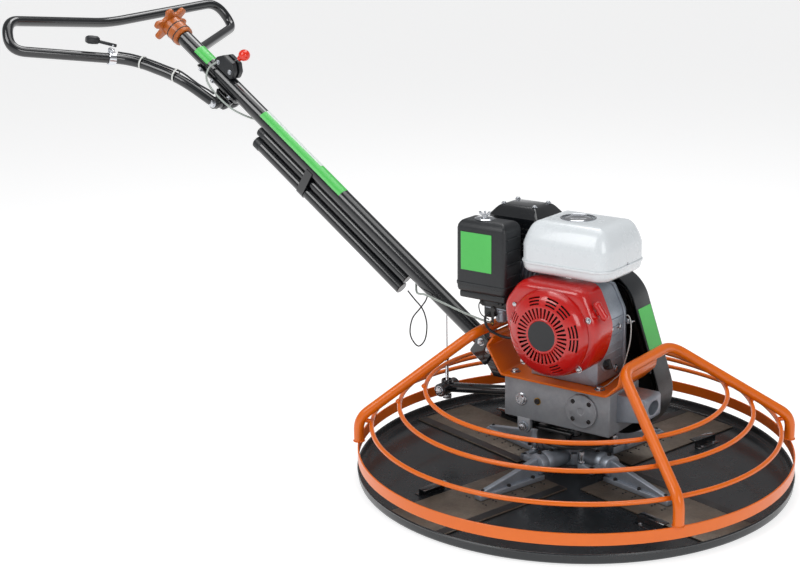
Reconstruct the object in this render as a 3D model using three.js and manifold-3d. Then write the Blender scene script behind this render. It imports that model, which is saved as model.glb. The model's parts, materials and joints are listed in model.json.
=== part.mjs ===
// Walk-behind power trowel with a float pan, guard rings, petrol engine and a delta handlebar.
// Millimetres, +Z up. The origin is the centre of the pan's flat underside, on the rotor's axis.
// +X points forward, away from the operator; +Y is the operator's left.
import * as THREE from 'three';
import { mergeVertices } from 'three/addons/utils/BufferGeometryUtils.js';
import Module from 'manifold-3d';

const wasm = await Module();
wasm.setup();

// ---------------------------------------------------------------- driving dimensions
const GAP = 0.3;                       // clearance between pieces that touch

const PAN = { r: 590, floor: 3, wall: 4, height: 30, bead: 5 };
const CLIP = { length: 86, along: 397, across: -126, height: 24, t: 3, flange: 20 };

const ROTOR_ANGLE = -14.7;             // degrees, the first arm's direction at rest
const ARM_COUNT = 4;
const ARM_Z = 50;                      // height of the arms' pitch axes
const BLADE = { inner: 122, outer: 558, half: 98, t: 4, z: 3.6 };
const ARM = { pinR: 12, bore: 13.2, pinFrom: 62, bossR: 25, bossTo: 118, tip: 350 };
const SHAFT_R = 17;
const THRUST = { r: 104, z: 93, t: 9 };

const BAND = { r: 588, t: 4, z: 51, height: 31 };
const ROD_R = 6;                       // guard ring rod
const GUARD_R = 14;                    // guard leg tube
const LEG = { r: 585, angle: 34.8, bendZ: 148 };
const CREST = { x: 213, y: 132, z: 355 };
const REAR_CREST = { x: -240, y: 132, z: 378 };

const BOX = { x0: -176, x1: 150, y: 80, z0: 145, z1: 262 };   // gearbox housing
const WORM = { x: 68, z: 205, wheelR: 44, r: 21 };
const YOKE = { x: -112, z: 125, pinR: 8 };      // yoke pivot, parallel to Y
const LEVER_END = { x: -425, z: 150 }; // barrel at the end of the yoke's lever

const CRANK = { x: 8, z: 428 };        // crankshaft axis, parallel to Y
const DRUM_R = 62;                     // clutch drum, outside
const DRUM_BORE = 45;

const HANDLE_TOP = { x: -1429, z: 1103 };   // upper end of the main tube
const HANDLE_LEN = 1440;
const HANDLE_DROP = 34.9;              // degrees below horizontal, going forward
const TUBE_R = 25;
const POLE_A = { r: 15, below: 41.5 };
const POLE_B = { r: 19, below: 77 };
const BAR_R = 15.5;                    // handlebar tube
const BAR_PIVOT = { x: -1243, z: 908 };

const RINGS = { low: 549, lowZ: 139, mid: 474, top: 404 };
const PLATE_Y = 100;                   // half width of the engine plate
const PULLEY = { r: 86, y: 172, bore: 11, depth: 13, bottom: 5, rim: 11, half: 15 };
const BELT_GUARD = { low: 124, high: 107, y0: 118, y1: 206, t: 3 };
const TUBE_FROM = 22;                  // where the main tube starts under the star wheel
const SCREW_R = 8;
const CROSS = { s: 264, below: 53.5 };  // handlebar cross tube, in the handle's own frame
const CROSS_R = 17;
const STRAP = { from: 636, to: 662 };   // strap that holds the lifting poles
const THROTTLE = { s: 216, z: 46, knobS: 248, knobZ: 110 };
const THROTTLE_ARM = { x: -204, z: 440 };
const TANK_TOP = 702;
const CAP = { x: 2, y: -3, z: 680, well: 47 };   // fuel cap, sunk in a well in the tank's top

const rad = THREE.MathUtils.degToRad;
const V = (x, y, z) => new THREE.Vector3(x, y, z);

const STARTER = { at: V(130, -128, 490), dir: V(0.793, 0, 0.609) };
const STOP = { at: V(-1527, -191.8, 1036.8), dir: V(-0.408, -0.9031, 0.1333), up: V(0.0549, 0.1215, 0.9911) };

// cable routes, point by point
const THROTTLE_ROUTE = [[-1252, -25.8, 1028], [-1274, -38, 1010], [-1276, -48, 975], [-1240, -50, 936],
  [-1190, -44, 899], [-1165, -24, 878.6], [-1143, 2, 863], [-1116, 24, 855.6], [-1084, 32, 855],
  [-563, 32, 491.7], [-548, 25, 460.5], [-533, 2, 438], [-512, -24, 424.6], [-489.5, -38, 425.7],
  [-470, -40, 427], [-400, -46, 414], [-330, -54, 402], [-275, -64, 397], [-245, -78, 399],
  [-226, -93, 403], [-210, -96.5, 405]];
const STOP_ROUTE = [[-1518, -173, 1054], [-1489, -140, 1045], [-1439, -116, 1029.5], [-1368, -98, 1007.5],
  [-1338, -89, 998], [-1300.5, -75.5, 972], [-1285, -69.5, 961]];
const SLACK_ROUTE = [[-536, -34, 427], [-514, -34, 407], [-487, -34, 384], [-474, -34, 358],
  [-470, -34, 328], [-478, -34, 290], [-499, -36, 269], [-518, -40, 286], [-524, -42, 312],
  [-513, -44, 352], [-487, -44, 384], [-470, -40, 408], [-465, -36, 424]];

// ---------------------------------------------------------------- finishes
const finish = (color, roughness, metalness) => ({ color, roughness, metalness });
const ORANGE = finish(0xf26a12, 0.35, 0.1);
const BLACK_PAINT = finish(0x15171a, 0.3, 0.1);
const PAN_STEEL = finish(0x2c3034, 0.28, 0.8);
const BLADE_STEEL = finish(0x6d655c, 0.45, 0.8);
const CAST_ALU = finish(0xa9b0b8, 0.42, 0.75);
const STEEL = finish(0xb5b8bb, 0.3, 0.95);
const DARK_STEEL = finish(0x3a3b3d, 0.45, 0.8);
const RED = finish(0xc81e16, 0.3, 0.1);
const TANK_WHITE = finish(0xe9edee, 0.35, 0.05);
const BLACK_PLASTIC = finish(0x1a1c1e, 0.45, 0.0);
const RUBBER = finish(0x1b1b1b, 0.8, 0.0);
const CHROME = finish(0xd8dadd, 0.12, 1.0);
const BRASS = finish(0xb08d3c, 0.35, 0.9);
const KNOB_RED = finish(0xe8341c, 0.25, 0.0);
const STAR_ORANGE = finish(0xd9681c, 0.4, 0.1);
const CABLE_GREY = finish(0x8b9a90, 0.5, 0.0);

// ---------------------------------------------------------------- shape helpers
function cylinder(r, from, to, sides = 20) {
  const d = to.clone().sub(from);
  const g = new THREE.CylinderGeometry(r, r, d.length(), sides);
  g.applyQuaternion(new THREE.Quaternion().setFromUnitVectors(V(0, 1, 0), d.clone().normalize()));
  g.translate((from.x + to.x) / 2, (from.y + to.y) / 2, (from.z + to.z) / 2);
  return g;
}

function box(x0, x1, y0, y1, z0, z1) {
  const g = new THREE.BoxGeometry(x1 - x0, y1 - y0, z1 - z0);
  return g.translate((x0 + x1) / 2, (y0 + y1) / 2, (z0 + z1) / 2);
}

// an outline in X and Z, carried along Y
function prismY(outline, y0, y1, hole = null) {
  const shape = new THREE.Shape(outline.map(([x, z]) => new THREE.Vector2(x, z)));
  if (hole) shape.holes.push(new THREE.Path(hole.map(([x, z]) => new THREE.Vector2(x, z))));
  const g = new THREE.ExtrudeGeometry(shape, { depth: y1 - y0, bevelEnabled: false });
  return g.rotateX(Math.PI / 2).translate(0, y1, 0);
}

// an outline in X and Y, carried up Z
function prismZ(outline, z0, z1) {
  const shape = new THREE.Shape(outline.map(([x, y]) => new THREE.Vector2(x, y)));
  return new THREE.ExtrudeGeometry(shape, { depth: z1 - z0, bevelEnabled: false }).translate(0, 0, z0);
}

// an outline in Y and Z, carried along X
function prismX(outline, x0, x1, hole = null) {
  const shape = new THREE.Shape(outline.map(([y, z]) => new THREE.Vector2(y, z)));
  if (hole) shape.holes.push(new THREE.Path(hole.map(([y, z]) => new THREE.Vector2(y, z))));
  const g = new THREE.ExtrudeGeometry(shape, { depth: x1 - x0, bevelEnabled: false }).translate(0, 0, x0);
  return g.applyMatrix4(new THREE.Matrix4().makeBasis(V(0, 1, 0), V(0, 0, 1), V(1, 0, 0)));
}

// a profile of [radius, height] points turned about Z
function turned(profile, sides = 24) {
  const g = new THREE.LatheGeometry(profile.map(([r, h]) => new THREE.Vector2(r, h)), sides);
  return g.rotateX(Math.PI / 2);
}

// a profile of [radius, y] points turned about an axis parallel to Y
function turnedY(profile, x, z, sides = 24) {
  const g = new THREE.LatheGeometry(profile.map(([r, y]) => new THREE.Vector2(r, y)), sides);
  return g.translate(x, 0, z);
}

// closed ring profile: outer and inner radius between two heights
const ringProfile = (rOut, rIn, h0, h1) => [[rIn, h0], [rOut, h0], [rOut, h1], [rIn, h1], [rIn, h0]];

// a round rod bent into a level circle
function hoop(R, z, r, sides, steps) {
  const section = [];
  for (let i = 0; i <= sides; i += 1) {
    const a = (2 * Math.PI * i) / sides;
    section.push([R + r * Math.cos(a), z + r * Math.sin(a)]);
  }
  return turned(section, steps);
}

// a path of straight runs joined by round bends, with stations only where it turns
class BentPath extends THREE.Curve {
  constructor(points, bend, perBend) {
    super();
    this.stations = [points[0]];
    for (let i = 1; i < points.length - 1; i += 1) {
      if (perBend === 0) {
        this.stations.push(points[i]);
        continue;
      }
      const reach = Math.min(bend, points[i].distanceTo(points[i - 1]) * 0.48,
        points[i].distanceTo(points[i + 1]) * 0.48);
      const a = points[i].clone().lerp(points[i - 1], reach / points[i].distanceTo(points[i - 1]));
      const b = points[i].clone().lerp(points[i + 1], reach / points[i].distanceTo(points[i + 1]));
      const arc = new THREE.QuadraticBezierCurve3(a, points[i], b);
      this.stations.push(...arc.getPoints(perBend));
    }
    this.stations.push(points[points.length - 1]);
  }

  getPoint(t) {
    const last = this.stations.length - 1;
    const i = Math.min(Math.floor(t * last + 1e-6), last - 1);
    return this.stations[i].clone().lerp(this.stations[i + 1], t * last - i);
  }

  getPointAt(u) { return this.getPoint(u); }

  getTangentAt(u) {
    const last = this.stations.length - 1;
    const i = Math.round(u * last);
    const before = this.stations[Math.max(i - 1, 0)];
    const here = this.stations[i];
    const after = this.stations[Math.min(i + 1, last)];
    const into = here.clone().sub(before).normalize();
    const out = after.clone().sub(here).normalize();
    return into.add(out).normalize();
  }
}

function bentTube(points, r, bend, sides = 8, perBend = 3) {
  const path = new BentPath(points, bend, perBend);
  const circle = new THREE.Shape();
  for (let i = 0; i < sides; i += 1) {
    const a = (2 * Math.PI * i) / sides;
    const p = [r * Math.cos(a), r * Math.sin(a)];
    if (i === 0) circle.moveTo(...p); else circle.lineTo(...p);
  }
  circle.closePath();
  return new THREE.ExtrudeGeometry(circle, { steps: path.stations.length - 1, extrudePath: path });
}

function toSolid(geometry) {
  const g = geometry.clone();
  g.deleteAttribute('normal');
  g.deleteAttribute('uv');
  const m = mergeVertices(g, 1e-4);
  const triangles = [];
  for (let i = 0; i < m.index.count; i += 3) {
    const [a, b, c] = [m.index.getX(i), m.index.getX(i + 1), m.index.getX(i + 2)];
    if (a !== b && b !== c && c !== a) triangles.push(a, b, c);
  }
  return new wasm.Manifold(new wasm.Mesh({
    numProp: 3,
    vertProperties: Float32Array.from(m.attributes.position.array),
    triVerts: Uint32Array.from(triangles),
  }));
}

function toGeometry(solid) {
  const m = solid.getMesh();
  const g = new THREE.BufferGeometry();
  g.setAttribute('position', new THREE.BufferAttribute(Float32Array.from(m.vertProperties), 3));
  g.setIndex(Array.from(m.triVerts));
  g.computeVertexNormals();
  return g;
}

const join = (...parts) => toGeometry(parts.map(toSolid).reduce((a, b) => a.add(b)));
const cut = (part, ...tools) => toGeometry(tools.map(toSolid).reduce((a, b) => a.subtract(b), toSolid(part)));

// ---------------------------------------------------------------- scene graph
const trowel = new THREE.Group();
let parent = trowel;

function add(name, geometry, look) {
  const mesh = new THREE.Mesh(geometry, new THREE.MeshStandardMaterial(look));
  mesh.name = name;
  parent.add(mesh);
  return mesh;
}

function inGroup(group, build) {
  const outer = parent;
  outer.add(group);
  parent = group;
  build();
  parent = outer;
}

// the outline of a loop drawn tight round two circles
function twoCircleOutline(a, ra, b, rb, steps = 14) {
  const dx = b[0] - a[0];
  const dy = b[1] - a[1];
  const along = Math.atan2(dy, dx);
  const lean = Math.acos((ra - rb) / Math.hypot(dx, dy));
  const arc = (c, r, from, to) => Array.from({ length: steps + 1 }, (_, i) => {
    const t = from + ((to - from) * i) / steps;
    return [c[0] + r * Math.cos(t), c[1] + r * Math.sin(t)];
  });
  return [...arc(b, rb, along - lean, along + lean),
    ...arc(a, ra, along + lean, along + 2 * Math.PI - lean)];
}

// ---------------------------------------------------------------- pan
function pan() {
  const { r, floor, wall, height, bead } = PAN;
  const inside = r - wall;
  const dish = turned([[0, 0], [r - 12, 0], [r - 2, 8], [r - 2, height - bead], [r, height - bead],
    [r, height], [inside - 2, height], [inside - 2, 11], [r - 15, floor], [0, floor]], 48);
  const { length, along, across, height: h, t, flange } = CLIP;
  const outline = [[across - flange, floor - 1], [across, floor - 1], [across, h - t],
    [across + flange, h - t], [across + flange, h], [across - t, h], [across - t, floor + t],
    [across - flange, floor + t]];
  const clips = [0, 1, 2, 3].map((i) => prismX(outline, along - length / 2, along + length / 2)
    .rotateZ(armAngle(i)));
  add('float_pan', join(dish, ...clips), PAN_STEEL);
}

// ---------------------------------------------------------------- rotor
const armAngle = (i) => rad(ROTOR_ANGLE + (360 * i) / ARM_COUNT);

// one arm casting and its blade, drawn along +X with the pitch axis at ARM_Z
function arm(i) {
  const group = new THREE.Group();
  group.rotation.z = armAngle(i);
  inGroup(group, () => {
    const { inner, outer, half, t, z } = BLADE;
    const top = z + t;
    add(`blade_${i + 1}`, prismZ([[inner, -half], [outer, -half], [outer, half], [inner, half]], z, top),
      BLADE_STEEL);
    const foot = prismZ([[128, -19], [ARM.tip, -13], [ARM.tip, 13], [128, 19]], top + GAP, 22);
    const web = prismY([[122, 20], [ARM.tip - 6, 20], [ARM.tip - 6, 27], [210, ARM_Z + 4],
      [122, ARM_Z + 22]], -8, 8);
    const collar = cylinder(ARM.bossR + 3, V(ARM.bossTo + GAP, 0, ARM_Z), V(144, 0, ARM_Z), 12);
    const pin = cylinder(ARM.pinR, V(ARM.pinFrom, 0, ARM_Z), V(130, 0, ARM_Z), 10);
    const horn = box(120, 136, -70, -12, ARM_Z - 9, ARM_Z + 9);
    const reach = box(82, 136, -70, -54, ARM_Z - 9, ARM_Z + 9);
    const stud = cylinder(7, V(90, -62, ARM_Z), V(90, -62, THRUST.z - 1.2), 10);
    add(`arm_${i + 1}`, join(foot, web, collar, pin, horn, reach, stud), CAST_ALU);
  });
}

function rotor() {
  const bosses = [];
  const bores = [];
  for (let i = 0; i < ARM_COUNT; i += 1) {
    bosses.push(cylinder(ARM.bossR, V(25, 0, ARM_Z), V(ARM.bossTo, 0, ARM_Z), 12).rotateZ(armAngle(i)));
    bores.push(cylinder(ARM.bore, V(ARM.pinFrom - 1, 0, ARM_Z), V(125, 0, ARM_Z), 10)
      .rotateZ(armAngle(i)));
  }
  const hub = cylinder(46, V(0, 0, 24), V(0, 0, 80), 20);
  add('spider_hub', cut(join(hub, ...bosses), ...bores,
    cylinder(SHAFT_R + GAP, V(0, 0, 10), V(0, 0, 90), 12)), CAST_ALU);
  add('output_shaft', join(cylinder(SHAFT_R, V(0, 0, 14), V(0, 0, 246), 12),
    cylinder(25, V(0, 0, 10), V(0, 0, 23.7), 6)), STEEL);
  add('worm_wheel', cut(cylinder(WORM.wheelR, V(0, 0, 192), V(0, 0, 218), 24),
    cylinder(SHAFT_R + GAP, V(0, 0, 180), V(0, 0, 230), 12)), BRASS);
  for (let i = 0; i < ARM_COUNT; i += 1) arm(i);
}

function thrustPlate() {
  const { r, z, t } = THRUST;
  add('thrust_plate', turned(ringProfile(r, SHAFT_R + 3, z, z + t), 28), DARK_STEEL);
}

// ---------------------------------------------------------------- guard
const onLeg = (sideX, sideY, r, z) => V(sideX * r * Math.cos(rad(LEG.angle)),
  sideY * r * Math.sin(rad(LEG.angle)), z);

function guardTube(name, side, crest) {
  const foot = BAND.z + BAND.height + GAP;
  add(name, bentTube([onLeg(side, -1, LEG.r, foot), onLeg(side, -1, LEG.r, LEG.bendZ),
    V(crest.x, -crest.y, crest.z), V(crest.x, crest.y, crest.z),
    onLeg(side, 1, LEG.r, LEG.bendZ), onLeg(side, 1, LEG.r, foot)], GUARD_R, 42), ORANGE);
}

function guard() {
  const { r, t, z, height } = BAND;
  add('guard_band', turned(ringProfile(r, r - t, z, z + height), 56), ORANGE);
  // the thin rings hang just under the sloping part of the guard tubes
  const top = onLeg(1, 1, LEG.r, LEG.bendZ);
  const slope = (CREST.z - LEG.bendZ) / Math.hypot(top.x - CREST.x, top.y - CREST.y);
  const drop = (GUARD_R + ROD_R + 2) * Math.hypot(1, slope);
  const under = (ringR) => LEG.bendZ + slope * (LEG.r - ringR) - drop;
  add('guard_ring_low', hoop(RINGS.low, RINGS.lowZ, ROD_R, 6, 48), ORANGE);
  add('guard_ring_mid', hoop(RINGS.mid, under(RINGS.mid), ROD_R, 6, 48), ORANGE);
  add('guard_ring_top', hoop(RINGS.top, under(RINGS.top), ROD_R, 6, 44), ORANGE);
  guardTube('guard_tube_front', 1, CREST);
  guardTube('guard_tube_rear', -1, REAR_CREST);
}

// ---------------------------------------------------------------- gearbox
function gearbox() {
  const { x0, x1, y, z0, z1 } = BOX;
  const body = box(x0, x1, -y, y, z0, z1);
  const nose = prismY([[x1 - 2, 176], [236, 192], [236, 256], [x1 - 2, 256]], -42, 42);
  const cheeks = [box(-134, -94, -y, -66, 104, z0 + 2), box(-134, -94, 66, y, 104, z0 + 2)];
  const cavity = box(-60, 130, -62, 62, 156, 250);
  const shaftBore = cylinder(SHAFT_R + 2, V(0, 0, 130), V(0, 0, 170), 16);
  const wormBore = cylinder(16, V(WORM.x, -y - 5, WORM.z), V(WORM.x, y + 5, WORM.z), 16);
  const noseBore = new THREE.CylinderGeometry(19, 19, 120, 16).scale(1, 1, 1.5)
    .rotateZ(Math.PI / 2).rotateX(Math.PI / 2).translate(200, 0, 224);
  const pivotBore = cylinder(YOKE.pinR + GAP, V(YOKE.x, -y - 5, YOKE.z), V(YOKE.x, y + 5, YOKE.z), 12);
  const plug = cylinder(8, V(-70, -y - 4, 203), V(-70, -y + 1, 203), 8);
  const sideBolt = [cylinder(18, V(-122, -y - 4, 200), V(-122, -y + 1, 200), 20),
    cylinder(12, V(-122, -y - 13, 200), V(-122, -y - 3, 200), 6)];
  add('gearbox_housing', join(cut(join(body, nose, ...cheeks), cavity, shaftBore, wormBore,
    noseBore, pivotBore), plug, ...sideBolt), CAST_ALU);

  const bolts = [45, 135, 225, 315].map((a) => {
    const [bx, bz] = [WORM.x + 34 * Math.cos(rad(a)), WORM.z + 34 * Math.sin(rad(a))];
    return cylinder(5, V(bx, -y - 12, bz), V(bx, -y - 6, bz), 8);
  });
  add('gearbox_cover', join(cylinder(46, V(WORM.x, -y - 8, WORM.z), V(WORM.x, -y - GAP, WORM.z), 28),
    ...bolts), CAST_ALU);

  add('worm_shaft', join(
    cylinder(PULLEY.bore, V(WORM.x, -y + 4, WORM.z), V(WORM.x, PULLEY.y + 22, WORM.z), 14),
    cylinder(WORM.r, V(WORM.x, -36, WORM.z), V(WORM.x, 36, WORM.z), 16)), STEEL);
  add('input_pulley', turnedY(grooved(PULLEY.r, PULLEY.bore + GAP), WORM.x, WORM.z, 22), DARK_STEEL);
}

// the section of a pulley with one V groove
function grooved(r, bore) {
  const { y, depth, bottom, rim, half } = PULLEY;
  return [[bore, y - half], [r, y - half], [r, y - rim], [r - depth, y - bottom], [r - depth, y + bottom],
    [r, y + rim], [r, y + half], [bore, y + half], [bore, y - half]];
}

// ---------------------------------------------------------------- pitch yoke
function yoke() {
  const { x, z, pinR } = YOKE;
  const end = LEVER_END;
  const fork = (side) => box(x, 22, Math.min(side * 40, side * 58), Math.max(side * 40, side * 58),
    z - 12, z - 2);
  const pad = (side) => cylinder(8, V(10, side * 49, THRUST.z + THRUST.t + 1), V(10, side * 49, z - 5), 12);
  const solid = join(cylinder(15, V(x, -64, z), V(x, 64, z), 16), fork(-1), fork(1), pad(-1), pad(1),
    box(-212, x, -22, 22, z - 8, z + 5), box(-212, -198, -22, 22, z - 8, 200),
    cylinder(14, V(-200, 0, 184), V(end.x, 0, end.z), 14),
    cylinder(19, V(end.x, -38, end.z), V(end.x, 38, end.z), 18),
    cylinder(17, V(end.x, 0, end.z), V(end.x, 0, end.z + 24), 16));
  const eye = cylinder(12, V(end.x, 0, end.z - 40), V(end.x, 0, end.z + 60), 12);
  add('pitch_yoke', cut(solid, eye, cylinder(pinR + GAP, V(x, -90, z), V(x, 90, z), 12)), BLACK_PAINT);
  add('yoke_pivot_pin', join(cylinder(pinR, V(x, -84, z), V(x, 84, z), 12),
    cylinder(12, V(x, -90, z), V(x, -BOX.y - GAP, z), 12)), STEEL);
  add('pitch_rod', join(cylinder(5, V(end.x, 0, end.z - 34), V(end.x, 0, end.z + 92), 10),
    cylinder(15, V(end.x, 0, end.z - 32), V(end.x, 0, end.z - 20), 6),
    cylinder(2, V(end.x, 0, end.z + 90), V(end.x, 0, 394), 8)), DARK_STEEL);
}

// ---------------------------------------------------------------- engine
function arcPoints(cx, cz, r, from, to, steps) {
  return Array.from({ length: steps + 1 }, (_, i) => {
    const a = rad(from + ((to - from) * i) / steps);
    return [cx + r * Math.cos(a), cz + r * Math.sin(a)];
  });
}

// a folded plate whose inner face lies t above the given line
function folded(points, t, y0, y1) {
  const line = points.map(([x, z]) => new THREE.Vector2(x, z));
  const inner = line.map((p, i) => {
    const into = p.clone().sub(line[Math.max(i - 1, 0)]).normalize();
    const out = line[Math.min(i + 1, line.length - 1)].clone().sub(p).normalize();
    const dir = into.add(out).normalize();
    return [p.x - dir.y * t, p.y + dir.x * t];
  });
  return prismY([...points, ...inner.reverse()], y0, y1);
}

function enginePlate() {
  const floor = BOX.z1 + GAP;
  add('engine_plate', folded([[-204, 366], [-224, 338], [-176, floor], [150, floor], [188, 300],
    [194, 338]], 6, -PLATE_Y, PLATE_Y), ORANGE);
}

function engine() {
  const { x, z } = CRANK;
  const base = BOX.z1 + 6.8;
  const lower = prismY([[x - 112, base], [x + 94, base], [x + 90, z + 20], [x + 52, z + 92],
    [x - 60, z + 92], [x - 112, z + 30]], -60, 112);
  const room = box(x - 80, x + 58, -52, 100, base + 20, z + 60);
  const bore = cylinder(14, V(x, -90, z), V(x, 130, z), 16);
  add('crankcase', cut(lower, room, bore), CAST_ALU);
  add('cylinder_head', prismY([[-236, 452], [-118, 440], [-108, 470], [-70, 526], [-112, 552],
    [-214, 562]], -24, 92), CAST_ALU);

  add('crankshaft', join(cylinder(12, V(x, -118, z), V(x, PULLEY.y + 30, z), 14),
    box(x - 30, x + 30, 0, 18, z - 42, z + 34), box(x - 30, x + 30, 40, 58, z - 42, z + 34),
    cylinder(DRUM_BORE - 3, V(x, PULLEY.y - 10, z), V(x, PULLEY.y + 10, z), 20)), STEEL);
  add('flywheel', turnedY([[12 + GAP, -112], [98, -112], [98, -88], [40, -76], [12 + GAP, -76],
    [12 + GAP, -112]], x, z, 22), CAST_ALU);
  const { y, depth, bottom, rim, half } = PULLEY;
  add('clutch_drum', turnedY([[DRUM_BORE, y - half], [DRUM_R, y - half], [DRUM_R, y - rim],
    [DRUM_R - depth, y - bottom], [DRUM_R - depth, y + bottom], [DRUM_R, y + rim], [DRUM_R, y + half + 4],
    [15, y + half + 4], [15, y + half], [DRUM_BORE, y + half], [DRUM_BORE, y - half]], x, z, 20), DARK_STEEL);
  beltDrive();
  blower();
  starter();
  upperEngine();
}

function beltDrive() {
  const [drum, pulley] = [[CRANK.x, CRANK.z], [WORM.x, WORM.z]];
  const { y, depth, bottom, r } = PULLEY;
  const seat = 1.6;
  const inside = twoCircleOutline(drum, DRUM_R - depth + seat, pulley, r - depth + seat, 12);
  const outside = twoCircleOutline(drum, DRUM_R - 0.5, pulley, r - 0.5, 12);
  add('v_belt', prismY(outside, y - bottom + seat, y + bottom - seat, inside), RUBBER);

  const { low, high, y0, y1, t } = BELT_GUARD;
  const shell = prismY(twoCircleOutline(drum, high, pulley, low), y0, y1);
  const room = prismY(twoCircleOutline(drum, high - t, pulley, low - t), y0 - 5, y1 - t);
  const tab = box(142, 172, PLATE_Y + GAP, y0 + 6, 308, 314);
  const tabFoot = box(142, 172, PLATE_Y + GAP, PLATE_Y + 6, 274, 314);
  add('belt_guard', join(cut(shell, room), tab, tabFoot), BLACK_PLASTIC);
}

function blower() {
  const { x, z } = CRANK;
  const scroll = [...arcPoints(x, z, 122, 205, 300, 9), [x + 104, z - 88], [x + 128, z - 40],
    [x + 140, z + 24], [x + 94, z + 126], [x - 100, z + 126], [x - 150, z + 60],
    [x - 138, z - 20]];
  const inner = scroll.map(([px, pz]) => [x + (px - x) * 0.955, z + (pz - z) * 0.955]);
  add('blower_housing', cut(prismY(scroll, -150, -64), prismY(inner, -145, -60),
    cylinder(103, V(x, -160, z), V(x, -140, z), 32), starterRod(8, -300, 60)), RED);
  add('recoil_cover', turnedY([[0, -192], [78, -190], [104, -178], [116, -150.3], [112, -150.3],
    [100, -174], [76, -185], [0, -187]], x, z, 26), RED);
}

// a round rod on the line along which the starter rope is pulled
function starterRod(r, from, to, sides = 10) {
  const { at, dir } = STARTER;
  return cylinder(r, at.clone().addScaledVector(dir, from), at.clone().addScaledVector(dir, to), sides);
}

function starter() {
  const { at, dir } = STARTER;
  const centre = at.clone().addScaledVector(dir, 20);
  const across = V(-dir.z, 0, dir.x).multiplyScalar(27);
  add('starter_grip', join(cylinder(11, centre.clone().sub(across), centre.clone().add(across), 12),
    starterRod(7, 8, 18), starterRod(2.5, -240, 10, 8)), RED);
}

function upperEngine() {
  add('fuel_tank', cut(roundedBox(-118, 152, -118, 112, 566, TANK_TOP, 34, 22),
    cylinder(CAP.well, V(CAP.x, CAP.y, CAP.z), V(CAP.x, CAP.y, TANK_TOP + 10), 28)), TANK_WHITE);
  add('fuel_cap', turned([[0, 0], [37, 0], [40, 5], [40, 17], [34, 22], [0, 22]], 24)
    .translate(CAP.x, CAP.y, CAP.z + GAP), CHROME);
  add('air_cleaner', roundedBox(-308, -146, -126, -34, 486, 684, 14, 12), BLACK_PLASTIC);
  add('muffler', roundedBox(-286, -124, 0, 138, 566, 704, 12, 20), BLACK_PAINT);
  add('carburettor', join(box(-232, -164, -92, -30, 424, 478), cylinder(16, V(-198, -61, 400), V(-198, -61, 485), 12)),
    CAST_ALU);
  const { x, z } = THROTTLE_ARM;
  add('throttle_arm', join(cylinder(9, V(x, -99, z), V(x, -92 - GAP, z), 12),
    box(x - 5, x + 5, -98, -95, z - 44, z)), DARK_STEEL);
  add('choke_lever', join(cylinder(6, V(-176, -104, 462), V(-176, -92 - GAP, 462), 10),
    box(-222, -176, -104, -99, 458, 466)), BLACK_PLASTIC);
}

// a box with rounded upright edges and a sloping shoulder at the top and bottom
function roundedBox(x0, x1, y0, y1, z0, z1, r, shoulder) {
  const [w, d] = [(x1 - x0) / 2 - shoulder, (y1 - y0) / 2 - shoulder];
  const c = Math.max(r - shoulder, 2);
  const shape = new THREE.Shape();
  shape.absarc(w - c, d - c, c, 0, Math.PI / 2);
  shape.absarc(c - w, d - c, c, Math.PI / 2, Math.PI);
  shape.absarc(c - w, c - d, c, Math.PI, Math.PI * 1.5);
  shape.absarc(w - c, c - d, c, Math.PI * 1.5, Math.PI * 2);
  const g = new THREE.ExtrudeGeometry(shape, {
    depth: z1 - z0 - 2 * shoulder, bevelEnabled: true, bevelThickness: shoulder, bevelSize: shoulder,
    bevelSegments: 1, curveSegments: 2,
  });
  return g.translate((x0 + x1) / 2, (y0 + y1) / 2, z0 + shoulder);
}

// ---------------------------------------------------------------- handle
// The handle's own frame: +X runs down the main tube, +Z stands square to it, upwards.
const handleFrame = new THREE.Matrix4().makeRotationY(rad(HANDLE_DROP))
  .setPosition(HANDLE_TOP.x, 0, HANDLE_TOP.z);

function handle() {
  const group = new THREE.Group();
  group.position.set(HANDLE_TOP.x, 0, HANDLE_TOP.z);
  group.rotation.y = rad(HANDLE_DROP);
  inGroup(group, () => {
    const along = (r, a, b, y, z, sides) => cylinder(r, V(a, y, z), V(b, y, z), sides);
    const cableHole = cylinder(7, V(1241 + 30, 0, -25 - 43), V(1241 - 14, 0, -5), 12);
    add('main_tube', cut(along(TUBE_R, TUBE_FROM, HANDLE_LEN, 0, 0, 20),
      along(TUBE_R - 3.5, TUBE_FROM - 5, HANDLE_LEN + 5, 0, 0, 20), cableHole), BLACK_PAINT);
    starWheel(along);
    add('pitch_nut', cut(join(along(20.5, 150, 180, 0, 0, 16), along(2, 178, 1185, 0, 13, 8)),
      along(SCREW_R + 0.6, 140, 190, 0, 0, 12)), STEEL);
    add('lifting_pole_a', along(POLE_A.r, 418, 1085, 0, -POLE_A.below, 16), BLACK_PAINT);
    add('lifting_pole_b', along(POLE_B.r, 425, 1085, 0, -POLE_B.below, 16), BLACK_PAINT);
    const band = (grow) => twoCircleOutline([0, 0], TUBE_R + grow, [0, -POLE_B.below], POLE_B.r + grow);
    const open = box(STRAP.from - 5, STRAP.to + 5, -60, 60, -2, 60);
    add('pole_strap', cut(prismX(band(3), STRAP.from, STRAP.to, band(0.5)), open), BLACK_PAINT);
    bracket();
    throttle();
  });
}

function starWheel(along) {
  const arms = 6;
  const lobes = Array.from({ length: arms }, (_, i) => {
    const a = (2 * Math.PI * i) / arms;
    const [y, z] = [Math.cos(a), Math.sin(a)];
    return [cylinder(9, V(-54, 0, 0).add(V(0, y * 54, z * 54)), V(-40, 0, 0).add(V(0, y * 54, z * 54)), 10),
      box(-53, -41, 20, 54, -7, 7).rotateX(a)];
  }).flat();
  add('star_wheel', join(...lobes, along(40, -54, -40, 0, 0, 18), along(33, -42, TUBE_FROM - GAP, 0, 0, 18),
    along(SCREW_R, 0, 205, 0, 0, 10)), STAR_ORANGE);
}

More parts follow.
